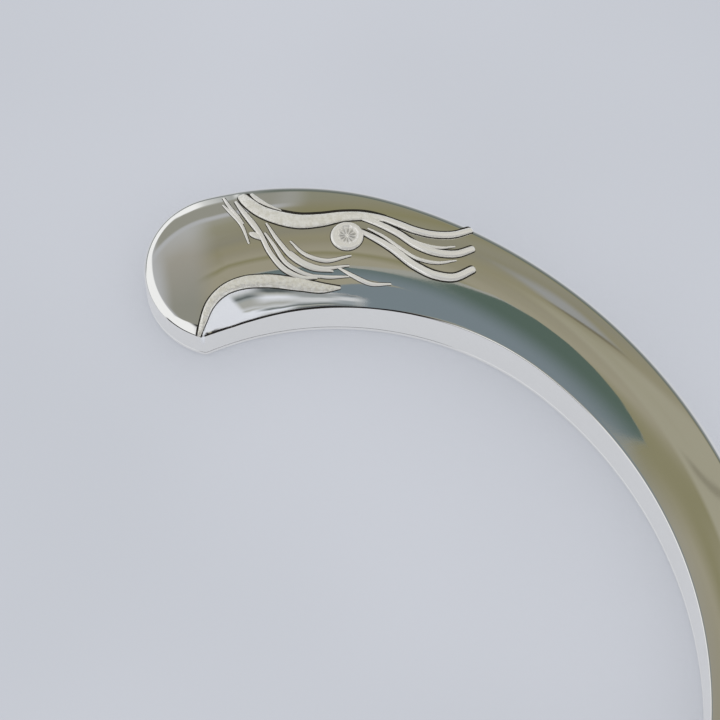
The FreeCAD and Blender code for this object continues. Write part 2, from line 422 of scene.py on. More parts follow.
@dataclass(frozen=True)
class HeadForms:
    """The soft forms of a head: the scoop under the jaw, the cut beside the crest and the rim bevels.

    A span is a pair of places between which something fades in or out.
    """

    wedge_slope: float = 0.30
    hollow_slope: float = 0.16
    step_depth: float = 0.08
    lip_height: float = 0.09
    scoop_start: float = -5.6
    scoop_end: float = 15.6
    crest_bevel_depth: float = 0.10
    crest_bevel_width: float = 1.05
    nose_bevel: float = 0.74
    nose_bevel_lean: float = -2.5
    outer_bevel: float = 0.66
    inner_bevel: float = 0.17
    inner_head_bevel: float = 0.26
    scoop_rise: float = 1.6
    slope_places: tuple[float, float, float] = (-1.5, 4.5, 14.0)
    hollow_start: Span = (-1.5, 2.5)
    hollow_end: float = 8.0
    step_span: Span = (0.0, 0.25)
    lip_span: Span = (0.78, 0.92)
    satin_jaw: Span = (-0.15, 0.03)
    satin_rim: Span = (1.01, 1.05)
    satin_start: Span = (-6.0, -5.2)
    satin_end: Span = (12.6, 15.4)
    crest_start: Span = (-4.6, -0.8)
    crest_end: Span = (2.3, 3.2)
    crest_least: float = 0.35
    nose_outer: Span = (-3.0, 3.0)
    nose_inner: Span = (-6.2, -4.6)
    head_start: Span = (-5.0, -3.6)
    head_end: Span = (9.0, 14.5)
    jaw_places: tuple[float, ...] = (-5.4, -4.3, -2.8, -1.4, 0.9, 3.1, 6.9, 10.3, 16.0)
    jaw_across: tuple[float, ...] = (-6.1, -5.3, -4.3, -3.85, -3.8, -4.15, -4.85, -5.2, -5.45)
    rim_places: tuple[float, ...] = (-6.0, -5.0, -2.0, 4.0, 8.0, 12.0, 16.0)
    rim_across: tuple[float, ...] = (-5.8, -6.3, -6.45, -6.55, -6.5, -6.36, -6.12)

    def jaw_line(self, back: np.ndarray) -> np.ndarray:
        """Return where across the head the jaw's lower edge runs."""
        return np.interp(back, self.jaw_places, self.jaw_across)

    def rim_line(self, back: np.ndarray) -> np.ndarray:
        """Return where across the head the inner rim runs."""
        return np.interp(back, self.rim_places, self.rim_across)

    def scoop_share(self, back: np.ndarray, across: np.ndarray) -> np.ndarray:
        """Measure how far places lie from the jaw towards the inner rim.

        Args:
            back: places back along the spine, in millimetres.
            across: places across the bar, in millimetres.

        Returns:
            The share, 0 at the jaw and 1 where the face ends at the rim.
        """
        start = self.jaw_line(back) + 0.05
        face_end = self.rim_line(back) + self.bevel(Side.INNER, back)
        return (start - across) / np.maximum(start - face_end, 0.25)

    def scoop(self, back: np.ndarray, across: np.ndarray) -> np.ndarray:
        """Find how deep the scoop between the jaw and the inner rim is.

        Args:
            back: places back along the spine, in millimetres.
            across: places across the bar, in millimetres.

        Returns:
            The depth at each place.
        """
        share = np.clip(self.scoop_share(back, across), 0.0, 1.3)
        below = np.maximum(self.jaw_line(back) + 0.2 - across, 0.0)
        slope = np.interp(back, self.slope_places, [self.wedge_slope, self.hollow_slope, 0.0])
        step = self.step_depth * smooth_step(*self.step_span, share)
        lip = self.lip_height * smooth_step(*self.lip_span, share)
        fade = 1.0 - smooth_step(self.hollow_end, self.scoop_end, back)
        hollow = (step - lip) * smooth_step(*self.hollow_start, back) * fade
        along = smooth_step(self.scoop_start, self.scoop_start + self.scoop_rise, back)
        return along * (slope * below + hollow)

    def satin(self, back: np.ndarray, across: np.ndarray) -> np.ndarray:
        """Find how satin the face is, which is only in the scoop, and where its painted reflections and
        shade lie.

        Args:
            back: places back along the spine, in millimetres.
            across: places across the bar, in millimetres.

        Returns:
            The share, from 0 for polished to 1 for satin.
        """
        share = self.scoop_share(back, across)
        inside = smooth_step(*self.satin_jaw, share) * (1.0 - smooth_step(*self.satin_rim, share))
        return inside * smooth_step(*self.satin_start, back) * (1.0 - smooth_step(*self.satin_end, back))

    def relief(self, back: np.ndarray, across: np.ndarray, to_rim: np.ndarray) -> np.ndarray:
        """Return how far the face stands above the plain crown.

        Args:
            back: places back along the spine.
            across: places across the bar.
            to_rim: distances to the outer edge.

        Returns:
            The heights, negative where the face is cut down.
        """
        height = -self.scoop(back, across)
        crest = smooth_step(*self.crest_start, back) * (1.0 - smooth_step(*self.crest_end, back))
        width = self.crest_bevel_width * (self.crest_least + (1.0 - self.crest_least) * crest)
        fall = np.clip(1.0 - to_rim / width, 0.0, 1.0)
        return height - self.crest_bevel_depth * crest * fall * (across > 0.0)

    def nose_share(self, side: Side, back: np.ndarray) -> np.ndarray:
        """Find how much of the nose's wide bevel each row has.

        Args:
            side: the side of the C.
            back: places back along the spine, in millimetres.

        Returns:
            The share, from 0 to 1.
        """
        if side is Side.OUTER:
            return 1.0 - smooth_step(*self.nose_outer, back)
        return 1.0 - smooth_step(*self.nose_inner, back)

    def bevel(self, side: Side, back: np.ndarray) -> np.ndarray:
        """Find the width of the rim's bevel.

        Args:
            side: the side of the C.
            back: places back along the spine, in millimetres.

        Returns:
            The width at each place.
        """
        share = self.nose_share(side, back)
        if side is Side.OUTER:
            plain = self.outer_bevel
        else:
            head = smooth_step(*self.head_start, back) * (1.0 - smooth_step(*self.head_end, back))
            plain = self.inner_bevel + (self.inner_head_bevel - self.inner_bevel) * head
        return plain + (self.nose_bevel - plain) * share


# ---------------------------------------------------------------------------------------------------------
# Bars swept over the plan
# ---------------------------------------------------------------------------------------------------------


@dataclass
class SweptRows:
    """The rows of the whole C, from one nose's tip round to the other's."""

    plan: BarPlan
    start: np.ndarray = field(init=False)
    edges: dict[Side, tuple[np.ndarray, np.ndarray]] = field(init=False)

    def __post_init__(self) -> None:
        """Work out the upper half's rows and mirror them to the lower half."""
        start, outward, inward = self.plan.half_rows()
        self.start = self._both_halves(start)
        self.edges = {}
        for side, way in ((Side.OUTER, outward), (Side.INNER, inward)):
            finder = self.plan.outer_edge if side is Side.OUTER else self.plan.inner_edge
            points, normals = finder(start, way)
            self.edges[side] = (self._both_halves(points), self._both_halves(normals))

    @staticmethod
    def _both_halves(upper: np.ndarray) -> np.ndarray:
        """Return the upper half's rows followed by the lower half's, without the middle row twice."""
        lower = upper[-2::-1] * np.array([1.0, -1.0])
        return np.concatenate([upper, lower])

    @property
    def count(self) -> int:
        """Return the number of rows."""
        return len(self.start)

    def inset(self, side: Side, distance: np.ndarray) -> np.ndarray:
        """Return the edge of one side moved in by a distance, for every row."""
        points, normals = self.edges[side]
        return points - normals * np.broadcast_to(distance, (self.count,))[:, None]

    def back(self, side: Side) -> np.ndarray:
        """Return how far back from the nose each row's edge point lies."""
        return self.plan.head_place(self.edges[side][0])[0]


def build_swept_mesh(name: str, columns: list[np.ndarray]) -> bpy.types.Object:
    """Add a grid and wrap it round the C, one column of the section at a time.

    Args:
        name: the new object's name.
        columns: for each point of the closed section, its place on every row, in millimetres.

    Returns:
        The closed mesh, with its place in its mesh.
    """
    points = np.stack(columns + [columns[0]], axis=1)
    rows, across = points.shape[0], points.shape[1]
    deselect_all()
    bpy.ops.mesh.primitive_grid_add(x_subdivisions=across - 1, y_subdivisions=rows - 1, size=1.0)
    piece = bpy.context.object
    piece.name = name
    piece.data.name = name
    place_vertices(piece, points.reshape(-1, 3))
    close_and_smooth(piece)
    return piece


def with_height(points: np.ndarray, height: np.ndarray) -> np.ndarray:
    """Return plan points with a height for each."""
    tall = np.broadcast_to(height, points.shape[:-1])
    return np.concatenate([points, tall[..., None]], axis=-1)


@dataclass
class FrontShell:
    """The stamped shell: crowned face, rims, side walls and the hollow underneath."""

    rows: SweptRows
    forms: HeadForms
    wall: float = 0.6
    foot: float = 0.7
    foot_bevel: float = 0.03
    half_columns: int = 43
    rim_steps: int = 9
    ceiling_columns: int = 5
    ceiling_gap: float = 0.02
    wall_top_drop: float = 0.08
    face_floor: float = 2.2
    view_slope: float = 0.51
    outer_places: tuple[float, ...] = (0.0, 0.08, 0.8)
    outer_turns: tuple[float, ...] = (-5.0, -3.5, 2.5)
    nose_places: tuple[float, ...] = (0.0, 0.08, 0.70, 0.88, 1.0)
    nose_shares: tuple[float, ...] = (0.72, 0.93, 1.04, 1.5, 2.2)

    def _face_height(self, points: np.ndarray, side: Side) -> np.ndarray:
        """Find the height of the visible face.

        Args:
            points: one plan point on every row.
            side: the side that the points lie on.

        Returns:
            The height over each point.
        """
        back, across = self.rows.plan.head_place(points)
        edge, normal = self.rows.edges[Side.OUTER]
        to_rim = np.full(len(points), FAR_FROM_RIM)
        if side is Side.OUTER:
            to_rim = np.abs(np.sum((edge - points) * normal, axis=-1))
        return self.rows.plan.crown(points) + self.forms.relief(back, across, to_rim)

    def _crown_columns(self, side: Side) -> list[np.ndarray]:
        """Lay out the face from the spine to the start of the rim.

        Args:
            side: the side of the C.

        Returns:
            The columns.
        """
        rim = self.rows.inset(side, self._rim(side))
        columns = []
        for step in range(1, self.half_columns + 1):
            share = step / self.half_columns
            points = self.rows.start + (rim - self.rows.start) * share
            height = self._face_height(points, side)
            columns.append(with_height(points, height))
        return columns

    def _rim(self, side: Side) -> np.ndarray:
        """Return the radius of the rim's rounding on every row."""
        return self.forms.bevel(side, self.rows.back(side))

    def _lean(self, side: Side) -> np.ndarray:
        """Find the face's slope where the rim starts.

        Args:
            side: the side of the C.

        Returns:
            The slope on every row, in radians.
        """
        edge = self.rows.inset(side, self._rim(side))
        distance = self.rows.plan.from_spine(edge)
        return np.arcsin(np.clip(distance / self.rows.plan.crown_radius, 0.0, 0.9))

    def _rim_columns(self, side: Side) -> list[np.ndarray]:
        """Lay out the rim, from the face down to the wall.

        The inner rim is round. The outer rim and the nose's are soft bevels with a round at the foot, tilted
        so that the silver there mirrors the horizon.

        Args:
            side: the side of the C.

        Returns:
            The columns.
        """
        rim = self._rim(side)
        share = self.forms.nose_share(side, self.rows.back(side))
        lean = self._lean(side)
        middle = self.rows.inset(side, rim)
        start = self._face_height(middle, side)
        parts = (np.arange(self.rim_steps) + 0.5) / self.rim_steps
        normal = self.rows.edges[side][1]
        away = np.clip(normal[:, 1] * np.sign(self.rows.start[:, 1] + 1e-9), 0.0, 1.0)
        level = 45.0 - 0.5 * np.degrees(np.arctan(self.view_slope * away))
        if side is Side.OUTER:
            turn = np.interp(parts, self.outer_places, self.outer_turns)
            upright = smooth_step(0.8, 1.06, parts)
            rounded = np.radians((level[:, None] + turn) * (1.0 - upright) + 90.0 * upright)
        else:
            rounded = lean[:, None] + (math.pi / 2 - lean)[:, None] * parts
        flat = np.radians(level + self.forms.nose_bevel_lean)[:, None]
        base = np.interp(parts, self.nose_places, self.nose_shares)[None, :]
        bevelled = np.minimum(flat * base, math.pi / 2)
        tilt = rounded * (1.0 - share)[:, None] + bevelled * share[:, None]
        across = np.cumsum(np.cos(tilt), axis=1)
        scale = rim / across[:, -1]
        fall = np.cumsum(np.sin(tilt), axis=1) * scale[:, None]
        columns = []
        for step in range(self.rim_steps):
            points = middle + normal * (across[:, step] * scale)[:, None]
            columns.append(with_height(points, start - fall[:, step]))
        return columns

    def _wall_columns(self, side: Side) -> list[np.ndarray]:
        """Lay out the wall: down outside, across its foot and up inside.

        Args:
            side: the side of the C.

        Returns:
            The columns.
        """
        edge = self.rows.inset(side, 0.0)
        top = self._rim_columns(side)[-1][:, 2]
        bevel = self.foot_bevel
        columns = [
            with_height(edge, top - self.wall_top_drop),
            with_height(edge, 0.5 * (top + self.foot)),
            with_height(edge, self.foot + 2.0 * bevel),
            with_height(edge, self.foot + bevel),
            with_height(self.rows.inset(side, bevel), self.foot),
            with_height(self.rows.inset(side, self.wall), self.foot),
        ]
        inside = self.rows.inset(side, self.wall)
        ceiling = self.rows.plan.crown(inside, self.wall) - self.ceiling_gap
        columns.append(with_height(inside, ceiling))
        return columns

    def _ceiling_columns(self, side: Side) -> list[np.ndarray]:
        """Lay out the ceiling of the hollow, from the inside of the wall to the spine.

        Args:
            side: the side of the C.

        Returns:
            The columns.
        """
        inside = self.rows.inset(side, self.wall)
        columns = []
        for step in range(1, self.ceiling_columns):
            share = step / self.ceiling_columns
            points = inside + (self.rows.start - inside) * share
            ceiling = self.rows.plan.crown(points, self.wall) - self.ceiling_gap
            columns.append(with_height(points, ceiling))
        return columns

    def build(self) -> bpy.types.Object:
        """Build the shell as one closed mesh.

        Returns:
            The shell.
        """
        spine = self.rows.start
        middle_top = with_height(spine, self.rows.plan.crown(spine))
        middle_ceiling = with_height(spine, self.rows.plan.crown(spine, self.wall) - self.ceiling_gap)
        outer = self._crown_columns(Side.OUTER) + self._rim_columns(Side.OUTER)
        outer += self._wall_columns(Side.OUTER) + self._ceiling_columns(Side.OUTER)
        inner = self._crown_columns(Side.INNER) + self._rim_columns(Side.INNER)
        inner += self._wall_columns(Side.INNER) + self._ceiling_columns(Side.INNER)
        columns = [middle_top] + outer + [middle_ceiling] + inner[::-1]
        shell = build_swept_mesh("front_shell_skin", columns)
        places = np.empty(len(shell.data.vertices) * 3, np.float32)
        shell.data.vertices.foreach_get("co", places)
        points = places.reshape(-1, 3) / MM
        back, across = self.rows.plan.head_place(points[:, :2])
        on_face = points[:, 2] > self.face_floor
        # The satin share also places the scoop's painted reflections and painted shade.
        add_attribute(shell, "satin", self.forms.satin(back, across) * on_face)
        add_attribute(shell, "scoop_share", np.clip(self.forms.scoop_share(back, across), -0.5, 1.5))
        add_attribute(shell, "scoop_back", np.clip(back, -8.0, 18.0))
        return shell


@dataclass
class BackPlate:
    """The flat plate soldered under the shell, with a rounded lower edge and two vent holes."""

    rows: SweptRows
    thickness: float = 0.7
    lower_round: float = 0.3
    seam_bevel: float = 0.03
    round_steps: int = 5
    flat_columns: int = 4
    vent_radius: float = 0.77
    vent_sides: int = 64

    def _side_columns(self, side: Side) -> list[np.ndarray]:
        """Lay out the edge, from the seam at the top round to the flat underside.

        Args:
            side: the side of the C.

        Returns:
            The columns.
        """
        columns = [
            with_height(self.rows.inset(side, self.seam_bevel), self.thickness),
            with_height(self.rows.inset(side, 0.0), self.thickness - self.seam_bevel),
        ]
        for step in range(self.round_steps + 1):
            turn = math.pi / 2 * step / self.round_steps
            inset = self.lower_round * (1.0 - math.cos(turn))
            height = self.lower_round * (1.0 - math.sin(turn))
            columns.append(with_height(self.rows.inset(side, inset), height))
        return columns

    def _flat(self, side: Side, height: float, inset: float) -> list[np.ndarray]:
        """Lay out a flat face from the edge towards the spine.

        Args:
            side: the side of the C.
            height: the face's height.
            inset: how far in from the edge it starts.

        Returns:
            The columns.
        """
        edge = self.rows.inset(side, inset)
        columns = []
        for step in range(1, self.flat_columns):
            share = step / self.flat_columns
            columns.append(with_height(edge + (self.rows.start - edge) * share, height))
        return columns

    def build(self) -> bpy.types.Object:
        """Build the plate and cut its vent holes.

        Returns:
            The plate.
        """
        columns = [with_height(self.rows.start, self.thickness)]
        columns += self._flat(Side.OUTER, self.thickness, self.seam_bevel)[::-1]
        columns += self._side_columns(Side.OUTER)
        columns += self._flat(Side.OUTER, 0.0, self.lower_round)
        columns += [with_height(self.rows.start, 0.0)]
        columns += self._flat(Side.INNER, 0.0, self.lower_round)[::-1]
        columns += self._side_columns(Side.INNER)[::-1]
        columns += self._flat(Side.INNER, self.thickness, self.seam_bevel)
        plate = build_swept_mesh("back_plate_skin", columns)
        for head in Head:
            self._cut_vent(plate, head)
        return plate

    def _cut_vent(self, plate: bpy.types.Object, head: Head) -> None:
        """Cut one vent hole through the plate.

        Args:
            plate: the plate.
            head: the head that the hole is under.
        """
        nose = self.rows.plan.nose
        deselect_all()
        bpy.ops.mesh.primitive_cylinder_add(
            vertices=self.vent_sides,
            radius=self.vent_radius * MM,
            depth=3.0 * self.thickness * MM,
            location=(nose.x * MM, head.value * nose.y * MM, 0.5 * self.thickness * MM),
        )
        cutter = bpy.context.object
        hole = plate.modifiers.new("vent", "BOOLEAN")
        hole.operation = "DIFFERENCE"
        hole.solver = "EXACT"
        hole.object = cutter
        deselect_all()
        plate.select_set(True)
        bpy.context.view_layer.objects.active = plate
        bpy.ops.object.modifier_apply(modifier=hole.name)
        plate.select_set(False)
        bpy.data.objects.remove(cutter, do_unlink=True)


# ---------------------------------------------------------------------------------------------------------
# The ornament on a head
# ---------------------------------------------------------------------------------------------------------


@dataclass(frozen=True)
class Ridge:
    """One raised line of the ornament, from its first point to its last.

    Each point is (back, across, width, height) in millimetres on the head.
    """

    name: str
    points: tuple[RidgePoint, ...]
    grain: Grain
    # Widths of the dark lines of painted shade and patina along the outer and inner sides.
    outer_shade_patina_line: float = 0.12
    inner_shade_patina_line: float = 0.10
    stations: int = 60


def through(values: np.ndarray, places: np.ndarray, wanted: np.ndarray) -> np.ndarray:
    """Return a smooth curve's values, run through given values at given places.

    Args:
        values: the values to run through.
        places: where along the curve they lie.
        wanted: where along the curve to read it.

    Returns:
        The curve's values at the wanted places.
    """
    slopes = np.gradient(values, places)
    index = np.clip(np.searchsorted(places, wanted) - 1, 0, len(places) - 2)
    gap = places[index + 1] - places[index]
    part = (wanted - places[index]) / gap
    leave = (1 + 2 * part) * (1 - part) ** 2 * values[index] + part * (1 - part) ** 2 * gap * slopes[index]
    reach = part**2 * (3 - 2 * part) * values[index + 1]
    arrive = part**2 * (part - 1) * gap * slopes[index + 1]
    return leave + reach + arrive


@dataclass
class HeadOrnament:
    """The raised lines and the eye of one head, each a closed form sunk a little into the face.

    Along each side lies a dark line of painted shade and patina: it lifts off the face by the lay and turns
    down by the bite.
    """

    plan: BarPlan
    forms: HeadForms
    sunk: float = 0.22
    section_points: int = 20
    eye_back: float = 11.66
    eye_across: float = 0.62
    eye_radius: float = 1.58
    eye_height: float = 0.34
    dimple_radius: float = 0.84
    dimple_depth: float = 0.26
    dimple_shift: float = 0.13
    dimple_way: float = 60.0
    pleats: int = 11
    eye_rings: int = 34
    eye_spokes: int = 88
    # Width of the eye's skirt, a dark ring of painted shade and patina.
    eye_shade_patina_line: float = 0.13
    dimple_dome: float = 0.03
    # Painted shade in the eye's dimple.
    dimple_shade: float = 0.42
    pleat_height: float = 0.05
    # More painted shade in the valleys between the pleats.
    pleat_valley_shade: float = 0.12
    bank_power: float = 2.2
    shade_start: Span = (0.10, 0.35)
    shade_end: Span = (0.80, 1.05)
    least_shade: float = 0.35
    lay: float = 0.012
    bite: float = 0.02
    line_flat: float = 0.6
    crowding: float = 0.35
    least_width: float = 0.05
    least_height: float = 0.02
    least_blunt: float = 0.08

    @staticmethod
    def brow() -> list[Ridge]:
        """List the brow and the bright line beside it.

        Returns:
            The two ridges.
        """
        return [
            Ridge(
                "brow",
                (
                    (2.9, 6.85, 0.9, 0.2), (3.25, 5.7, 1.15, 0.28), (4.15, 4.1, 1.35, 0.32),
                    (5.6, 2.95, 1.55, 0.34), (7.3, 2.3, 1.6, 0.34), (9.2, 2.35, 1.45, 0.33),
                    (11.2, 2.85, 1.15, 0.3), (13.1, 3.1, 0.95, 0.28), (15.0, 3.0, 0.5, 0.16),
                ),
                Grain.SATIN,
                outer_shade_patina_line=0.5,
                inner_shade_patina_line=0.14,
                stations=90,
            ),
            Ridge(
                "brow_glint",
                (
                    (3.7, 6.75, 0.32, 0.1), (4.1, 5.8, 0.5, 0.14), (4.9, 4.7, 0.34, 0.1),
                    (5.9, 3.85, 0.12, 0.04),
                ),
                Grain.POLISHED,
                outer_shade_patina_line=0.02,
                inner_shade_patina_line=0.02,
            ),
        ]

    @staticmethod
    def strands() -> list[Ridge]:
        """List the strands that the brow splits into.

        Returns:
            Three long ridges and two fine ones.
        """
        return [
            Ridge(
                "strand_1",
                (
                    (13.2, 3.3, 0.59, 0.22), (14.6, 3.1, 0.66, 0.31), (15.9, 2.78, 0.73, 0.34),
                    (17.6, 2.45, 0.73, 0.34), (19.3, 2.57, 0.73, 0.34), (20.8, 3.25, 0.73, 0.34),
                    (22.1, 4.75, 0.66, 0.28),
                ),
                Grain.POLISHED,
                outer_shade_patina_line=0.27,
            ),
            Ridge(
                "strand_2",
                (
                    (12.6, 2.9, 0.47, 0.18), (14.1, 2.45, 0.61, 0.29), (16.1, 1.72, 0.68, 0.32),
                    (18.3, 0.8, 0.73, 0.34), (20.3, 0.72, 0.76, 0.34), (21.9, 1.33, 0.76, 0.34),
                    (23.1, 2.75, 0.68, 0.3),
                ),
                Grain.POLISHED,
                outer_shade_patina_line=0.27,
            ),
            Ridge(
                "strand_3",
                (
                    (12.7, 1.35, 0.47, 0.13), (14.2, 0.7, 0.59, 0.29), (15.8, 0.0, 0.68, 0.32),
                    (18.7, -1.3, 0.76, 0.34), (20.9, -1.58, 0.78, 0.34), (22.7, -1.1, 0.78, 0.34),
                    (24.1, 0.72, 0.7, 0.3),
                ),
                Grain.POLISHED,
                outer_shade_patina_line=0.27,
                inner_shade_patina_line=0.14,
            ),
            Ridge(
                "fine_strand_1",
                (
                    (14.2, 2.55, 0.2, 0.08), (16.1, 1.83, 0.32, 0.19), (17.5, 1.3, 0.36, 0.21),
                    (18.9, 1.12, 0.36, 0.21), (20.4, 1.4, 0.3, 0.18), (21.5, 2.1, 0.16, 0.07),
                ),
                Grain.POLISHED,
                outer_shade_patina_line=0.07,
                inner_shade_patina_line=0.06,
            ),
            Ridge(
                "fine_strand_2",
                (
                    (13.4, 1.75, 0.2, 0.08), (14.9, 1.09, 0.32, 0.19), (16.7, 0.16, 0.36, 0.21),
                    (18.6, -0.5, 0.36, 0.21), (20.6, -0.3, 0.32, 0.19), (22.2, 0.7, 0.16, 0.07),
                ),
                Grain.POLISHED,
                outer_shade_patina_line=0.07,
                inner_shade_patina_line=0.06,
            ),
        ]

    @staticmethod
    def jaw() -> list[Ridge]:
        """List the ridge along the jaw.

        Returns:
            The one ridge.
        """
        return [
            Ridge(
                "jaw",
                (
                    (-5.9, -6.0, 0.3, 0.1), (-4.74, -5.15, 0.6, 0.26), (-3.25, -4.08, 0.8, 0.32),
                    (-1.5, -3.42, 0.92, 0.34), (0.8, -3.22, 1.12, 0.34), (3.2, -3.52, 1.2, 0.33),
                    (6.9, -4.3, 1.1, 0.28), (9.6, -4.7, 0.8, 0.22), (11.5, -4.62, 0.2, 0.08),
                ),
                Grain.STIPPLED,
                outer_shade_patina_line=0.2,
                inner_shade_patina_line=0.08,
                stations=110,
            ),
        ]

    @staticmethod
    def tendrils() -> list[Ridge]:
        """List the fine curling ridges between the brow and the jaw.

        Returns:
            The ridges.
        """
        return [
            Ridge(
                "tendril_a",
                (
                    (1.55, 7.0, 0.23, 0.06), (1.75, 5.6, 0.35, 0.15), (2.2, 3.9, 0.32, 0.15),
                    (2.5, 2.9, 0.17, 0.06),
                ),
                Grain.POLISHED,
                outer_shade_patina_line=0.08,
                inner_shade_patina_line=0.06,
            ),
            Ridge(
                "tendril_b",
                (
                    (1.3, 6.0, 0.2, 0.06), (1.7, 4.7, 0.35, 0.15), (2.24, 3.0, 0.35, 0.16),
                    (2.5, 0.5, 0.17, 0.05),
                ),
                Grain.POLISHED,
                outer_shade_patina_line=0.08,
                inner_shade_patina_line=0.06,
            ),
            Ridge(
                "tendril_c",
                (
                    (2.35, 6.1, 0.29, 0.1), (2.75, 4.3, 0.52, 0.22), (3.3, 2.6, 0.61, 0.25),
                    (3.7, 1.4, 0.49, 0.2), (4.3, -0.9, 0.49, 0.21), (5.5, -2.75, 0.52, 0.21),
                    (7.1, -3.6, 0.41, 0.16), (8.9, -3.75, 0.17, 0.06),
                ),
                Grain.POLISHED,
                outer_shade_patina_line=0.09,
                inner_shade_patina_line=0.1,
                stations=90,
            ),
            Ridge(
                "bud",
                (
                    (2.75, 1.75, 0.3, 0.1), (3.1, 1.45, 0.62, 0.2), (3.5, 1.05, 0.5, 0.18),
                    (3.8, 0.7, 0.2, 0.06),
                ),
                Grain.POLISHED,
                outer_shade_patina_line=0.07,
                inner_shade_patina_line=0.09,
                stations=40,
            ),
            Ridge(
                "tendril_d",
                (
                    (4.1, 1.5, 0.2, 0.06), (4.7, 0.0, 0.38, 0.18), (5.7, -2.1, 0.43, 0.19),
                    (7.2, -3.15, 0.38, 0.15), (9.2, -3.7, 0.17, 0.06),
                ),
                Grain.POLISHED,
                outer_shade_patina_line=0.08,
                inner_shade_patina_line=0.08,
            ),
            Ridge(
                "tendril_e",
                (
                    (4.4, 2.6, 0.2, 0.06), (5.2, 0.35, 0.43, 0.19), (6.44, -1.6, 0.52, 0.21),
                    (8.2, -2.75, 0.43, 0.19), (10.6, -3.1, 0.17, 0.06),
                ),
                Grain.POLISHED,
                outer_shade_patina_line=0.08,
                inner_shade_patina_line=0.09,
            ),
            Ridge(
                "tendril_f",
                (
                    (6.3, 0.2, 0.17, 0.05), (7.5, -1.25, 0.35, 0.16), (9.65, -2.05, 0.41, 0.18),
                    (12.3, -1.4, 0.17, 0.06),
                ),
                Grain.POLISHED,
                outer_shade_patina_line=0.08,
                inner_shade_patina_line=0.08,
            ),
            Ridge(
                "tendril_g",
                (
                    (6.2, -0.9, 0.17, 0.05), (7.4, -2.1, 0.38, 0.18), (9.03, -2.77, 0.41, 0.18),
                    (12.2, -2.45, 0.17, 0.06),
                ),
                Grain.POLISHED,
                outer_shade_patina_line=0.08,
                inner_shade_patina_line=0.08,
            ),
            Ridge(
                "tendril_h",
                (
                    (8.2, -3.45, 0.17, 0.05), (9.7, -3.65, 0.32, 0.14), (12.3, -3.5, 0.14, 0.05),
                ),
                Grain.POLISHED,
                outer_shade_patina_line=0.06,
                inner_shade_patina_line=0.08,
            ),
            Ridge(
                "tendril_i",
                (
                    (10.9, -2.65, 0.17, 0.05), (12.6, -3.4, 0.38, 0.16), (14.7, -3.94, 0.38, 0.15),
                    (16.9, -3.6, 0.17, 0.06),
                ),
                Grain.POLISHED,
                outer_shade_patina_line=0.09,
                inner_shade_patina_line=0.06,
            ),
        ]

    def _face(self, points: np.ndarray) -> np.ndarray:
        """Find the height of the shell's face.

        Args:
            points: plan points on the upper head.

        Returns:
            The face's height over each point.
        """
        back, across = self.plan.head_place(points)
        to_rim = np.full(points.shape[:-1], FAR_FROM_RIM)
        return self.plan.crown(points) + self.forms.relief(back, across, to_rim)

    def _section(self, ridge: Ridge) -> tuple[np.ndarray, np.ndarray, np.ndarray]:
        """Work out a ridge's section over the face, as shares of its half width and height.

        Args:
            ridge: the ridge that the section is for.

        Returns:
            The sideways share, the share of the height and the painted shade of each point, darker low on
            the sides.
        """
        turn = np.linspace(0.0, math.pi, self.section_points)
        is_polished = ridge.grain is Grain.POLISHED
        sideways = np.sign(np.cos(turn)) * np.abs(np.cos(turn)) ** (0.85 if is_polished else 0.7)
        upward = np.sin(turn) ** (1.0 if is_polished else 0.8)
        # Painted shade: the low sides of the section are darker.
        dark = 1.0 - smooth_step(0.0, 0.5, upward)
        return sideways, upward, dark

    def _stations(self, ridge: Ridge) -> tuple[np.ndarray, np.ndarray, np.ndarray, np.ndarray, np.ndarray]:
        """Space a ridge's rings along its line, a little closer together near its ends.

        Args:
            ridge: the ridge.

        Returns:
            The rings' plan points and how far along they lie, then the ridge's width, its height and the
            rounding of its ends there.
        """
        rings = ridge.stations
        control = np.array(ridge.points, float)
        steps = np.hypot(np.diff(control[:, 0]), np.diff(control[:, 1]))
        places = np.concatenate([[0.0], np.cumsum(steps)])
        length = places[-1]
        share = 0.5 - 0.5 * np.cos(np.pi * (np.arange(rings + 1)) / rings)
        share = self.crowding * share + (1.0 - self.crowding) * np.arange(rings + 1) / rings
        along = share * length
        back = through(control[:, 0], places, along)
        across = through(control[:, 1], places, along)
        width = np.maximum(through(control[:, 2], places, along), self.least_width)
        height = np.maximum(through(control[:, 3], places, along), self.least_height)
        tip = np.minimum(along, length - along)
        blunt = np.maximum(width * 0.5, self.least_blunt)
        rounding = np.sqrt(np.clip(1.0 - (1.0 - np.minimum(tip / blunt, 1.0)) ** 2, 0.0, 1.0))
        return self.plan.head_point(back, across), along, width, height, rounding

    def _outward(self, line: np.ndarray, along: np.ndarray) -> np.ndarray:
        """Find the way across a ridge's line, towards the bar's outer side.

        Args:
            line: plan points of the line.
            along: how far along the line they lie.

        Returns:
            A unit vector for each point.
        """
        ahead = np.gradient(line, along, axis=0)
        ahead /= np.linalg.norm(ahead, axis=1, keepdims=True)
        left = np.stack([-ahead[:, 1], ahead[:, 0]], axis=1)
        away = line - self.plan.spine_shoulder.center
        flip = np.sign(np.sum(left * away, axis=1) + 1e-9)
        return left if np.sum(flip) >= 0 else -left

    def _profile(
        self, ridge: Ridge, width: np.ndarray, height: np.ndarray, rounding: np.ndarray
    ) -> list[tuple[np.ndarray, np.ndarray, float]]:
        """Work out a ridge's closed section on every ring, from the outer side over the top to the inner.

        Args:
            ridge: the ridge.
            width: its width on every ring.
            height: its height on every ring.
            rounding: the rounding of its ends on every ring.

        Returns:
            For each point: how far sideways and above the face it lies on every ring, and its painted shade
                and patina.
        """
        half = 0.5 * width * rounding
        level = np.ones_like(half)
        outer = ridge.outer_shade_patina_line * rounding
        inner = ridge.inner_shade_patina_line * rounding
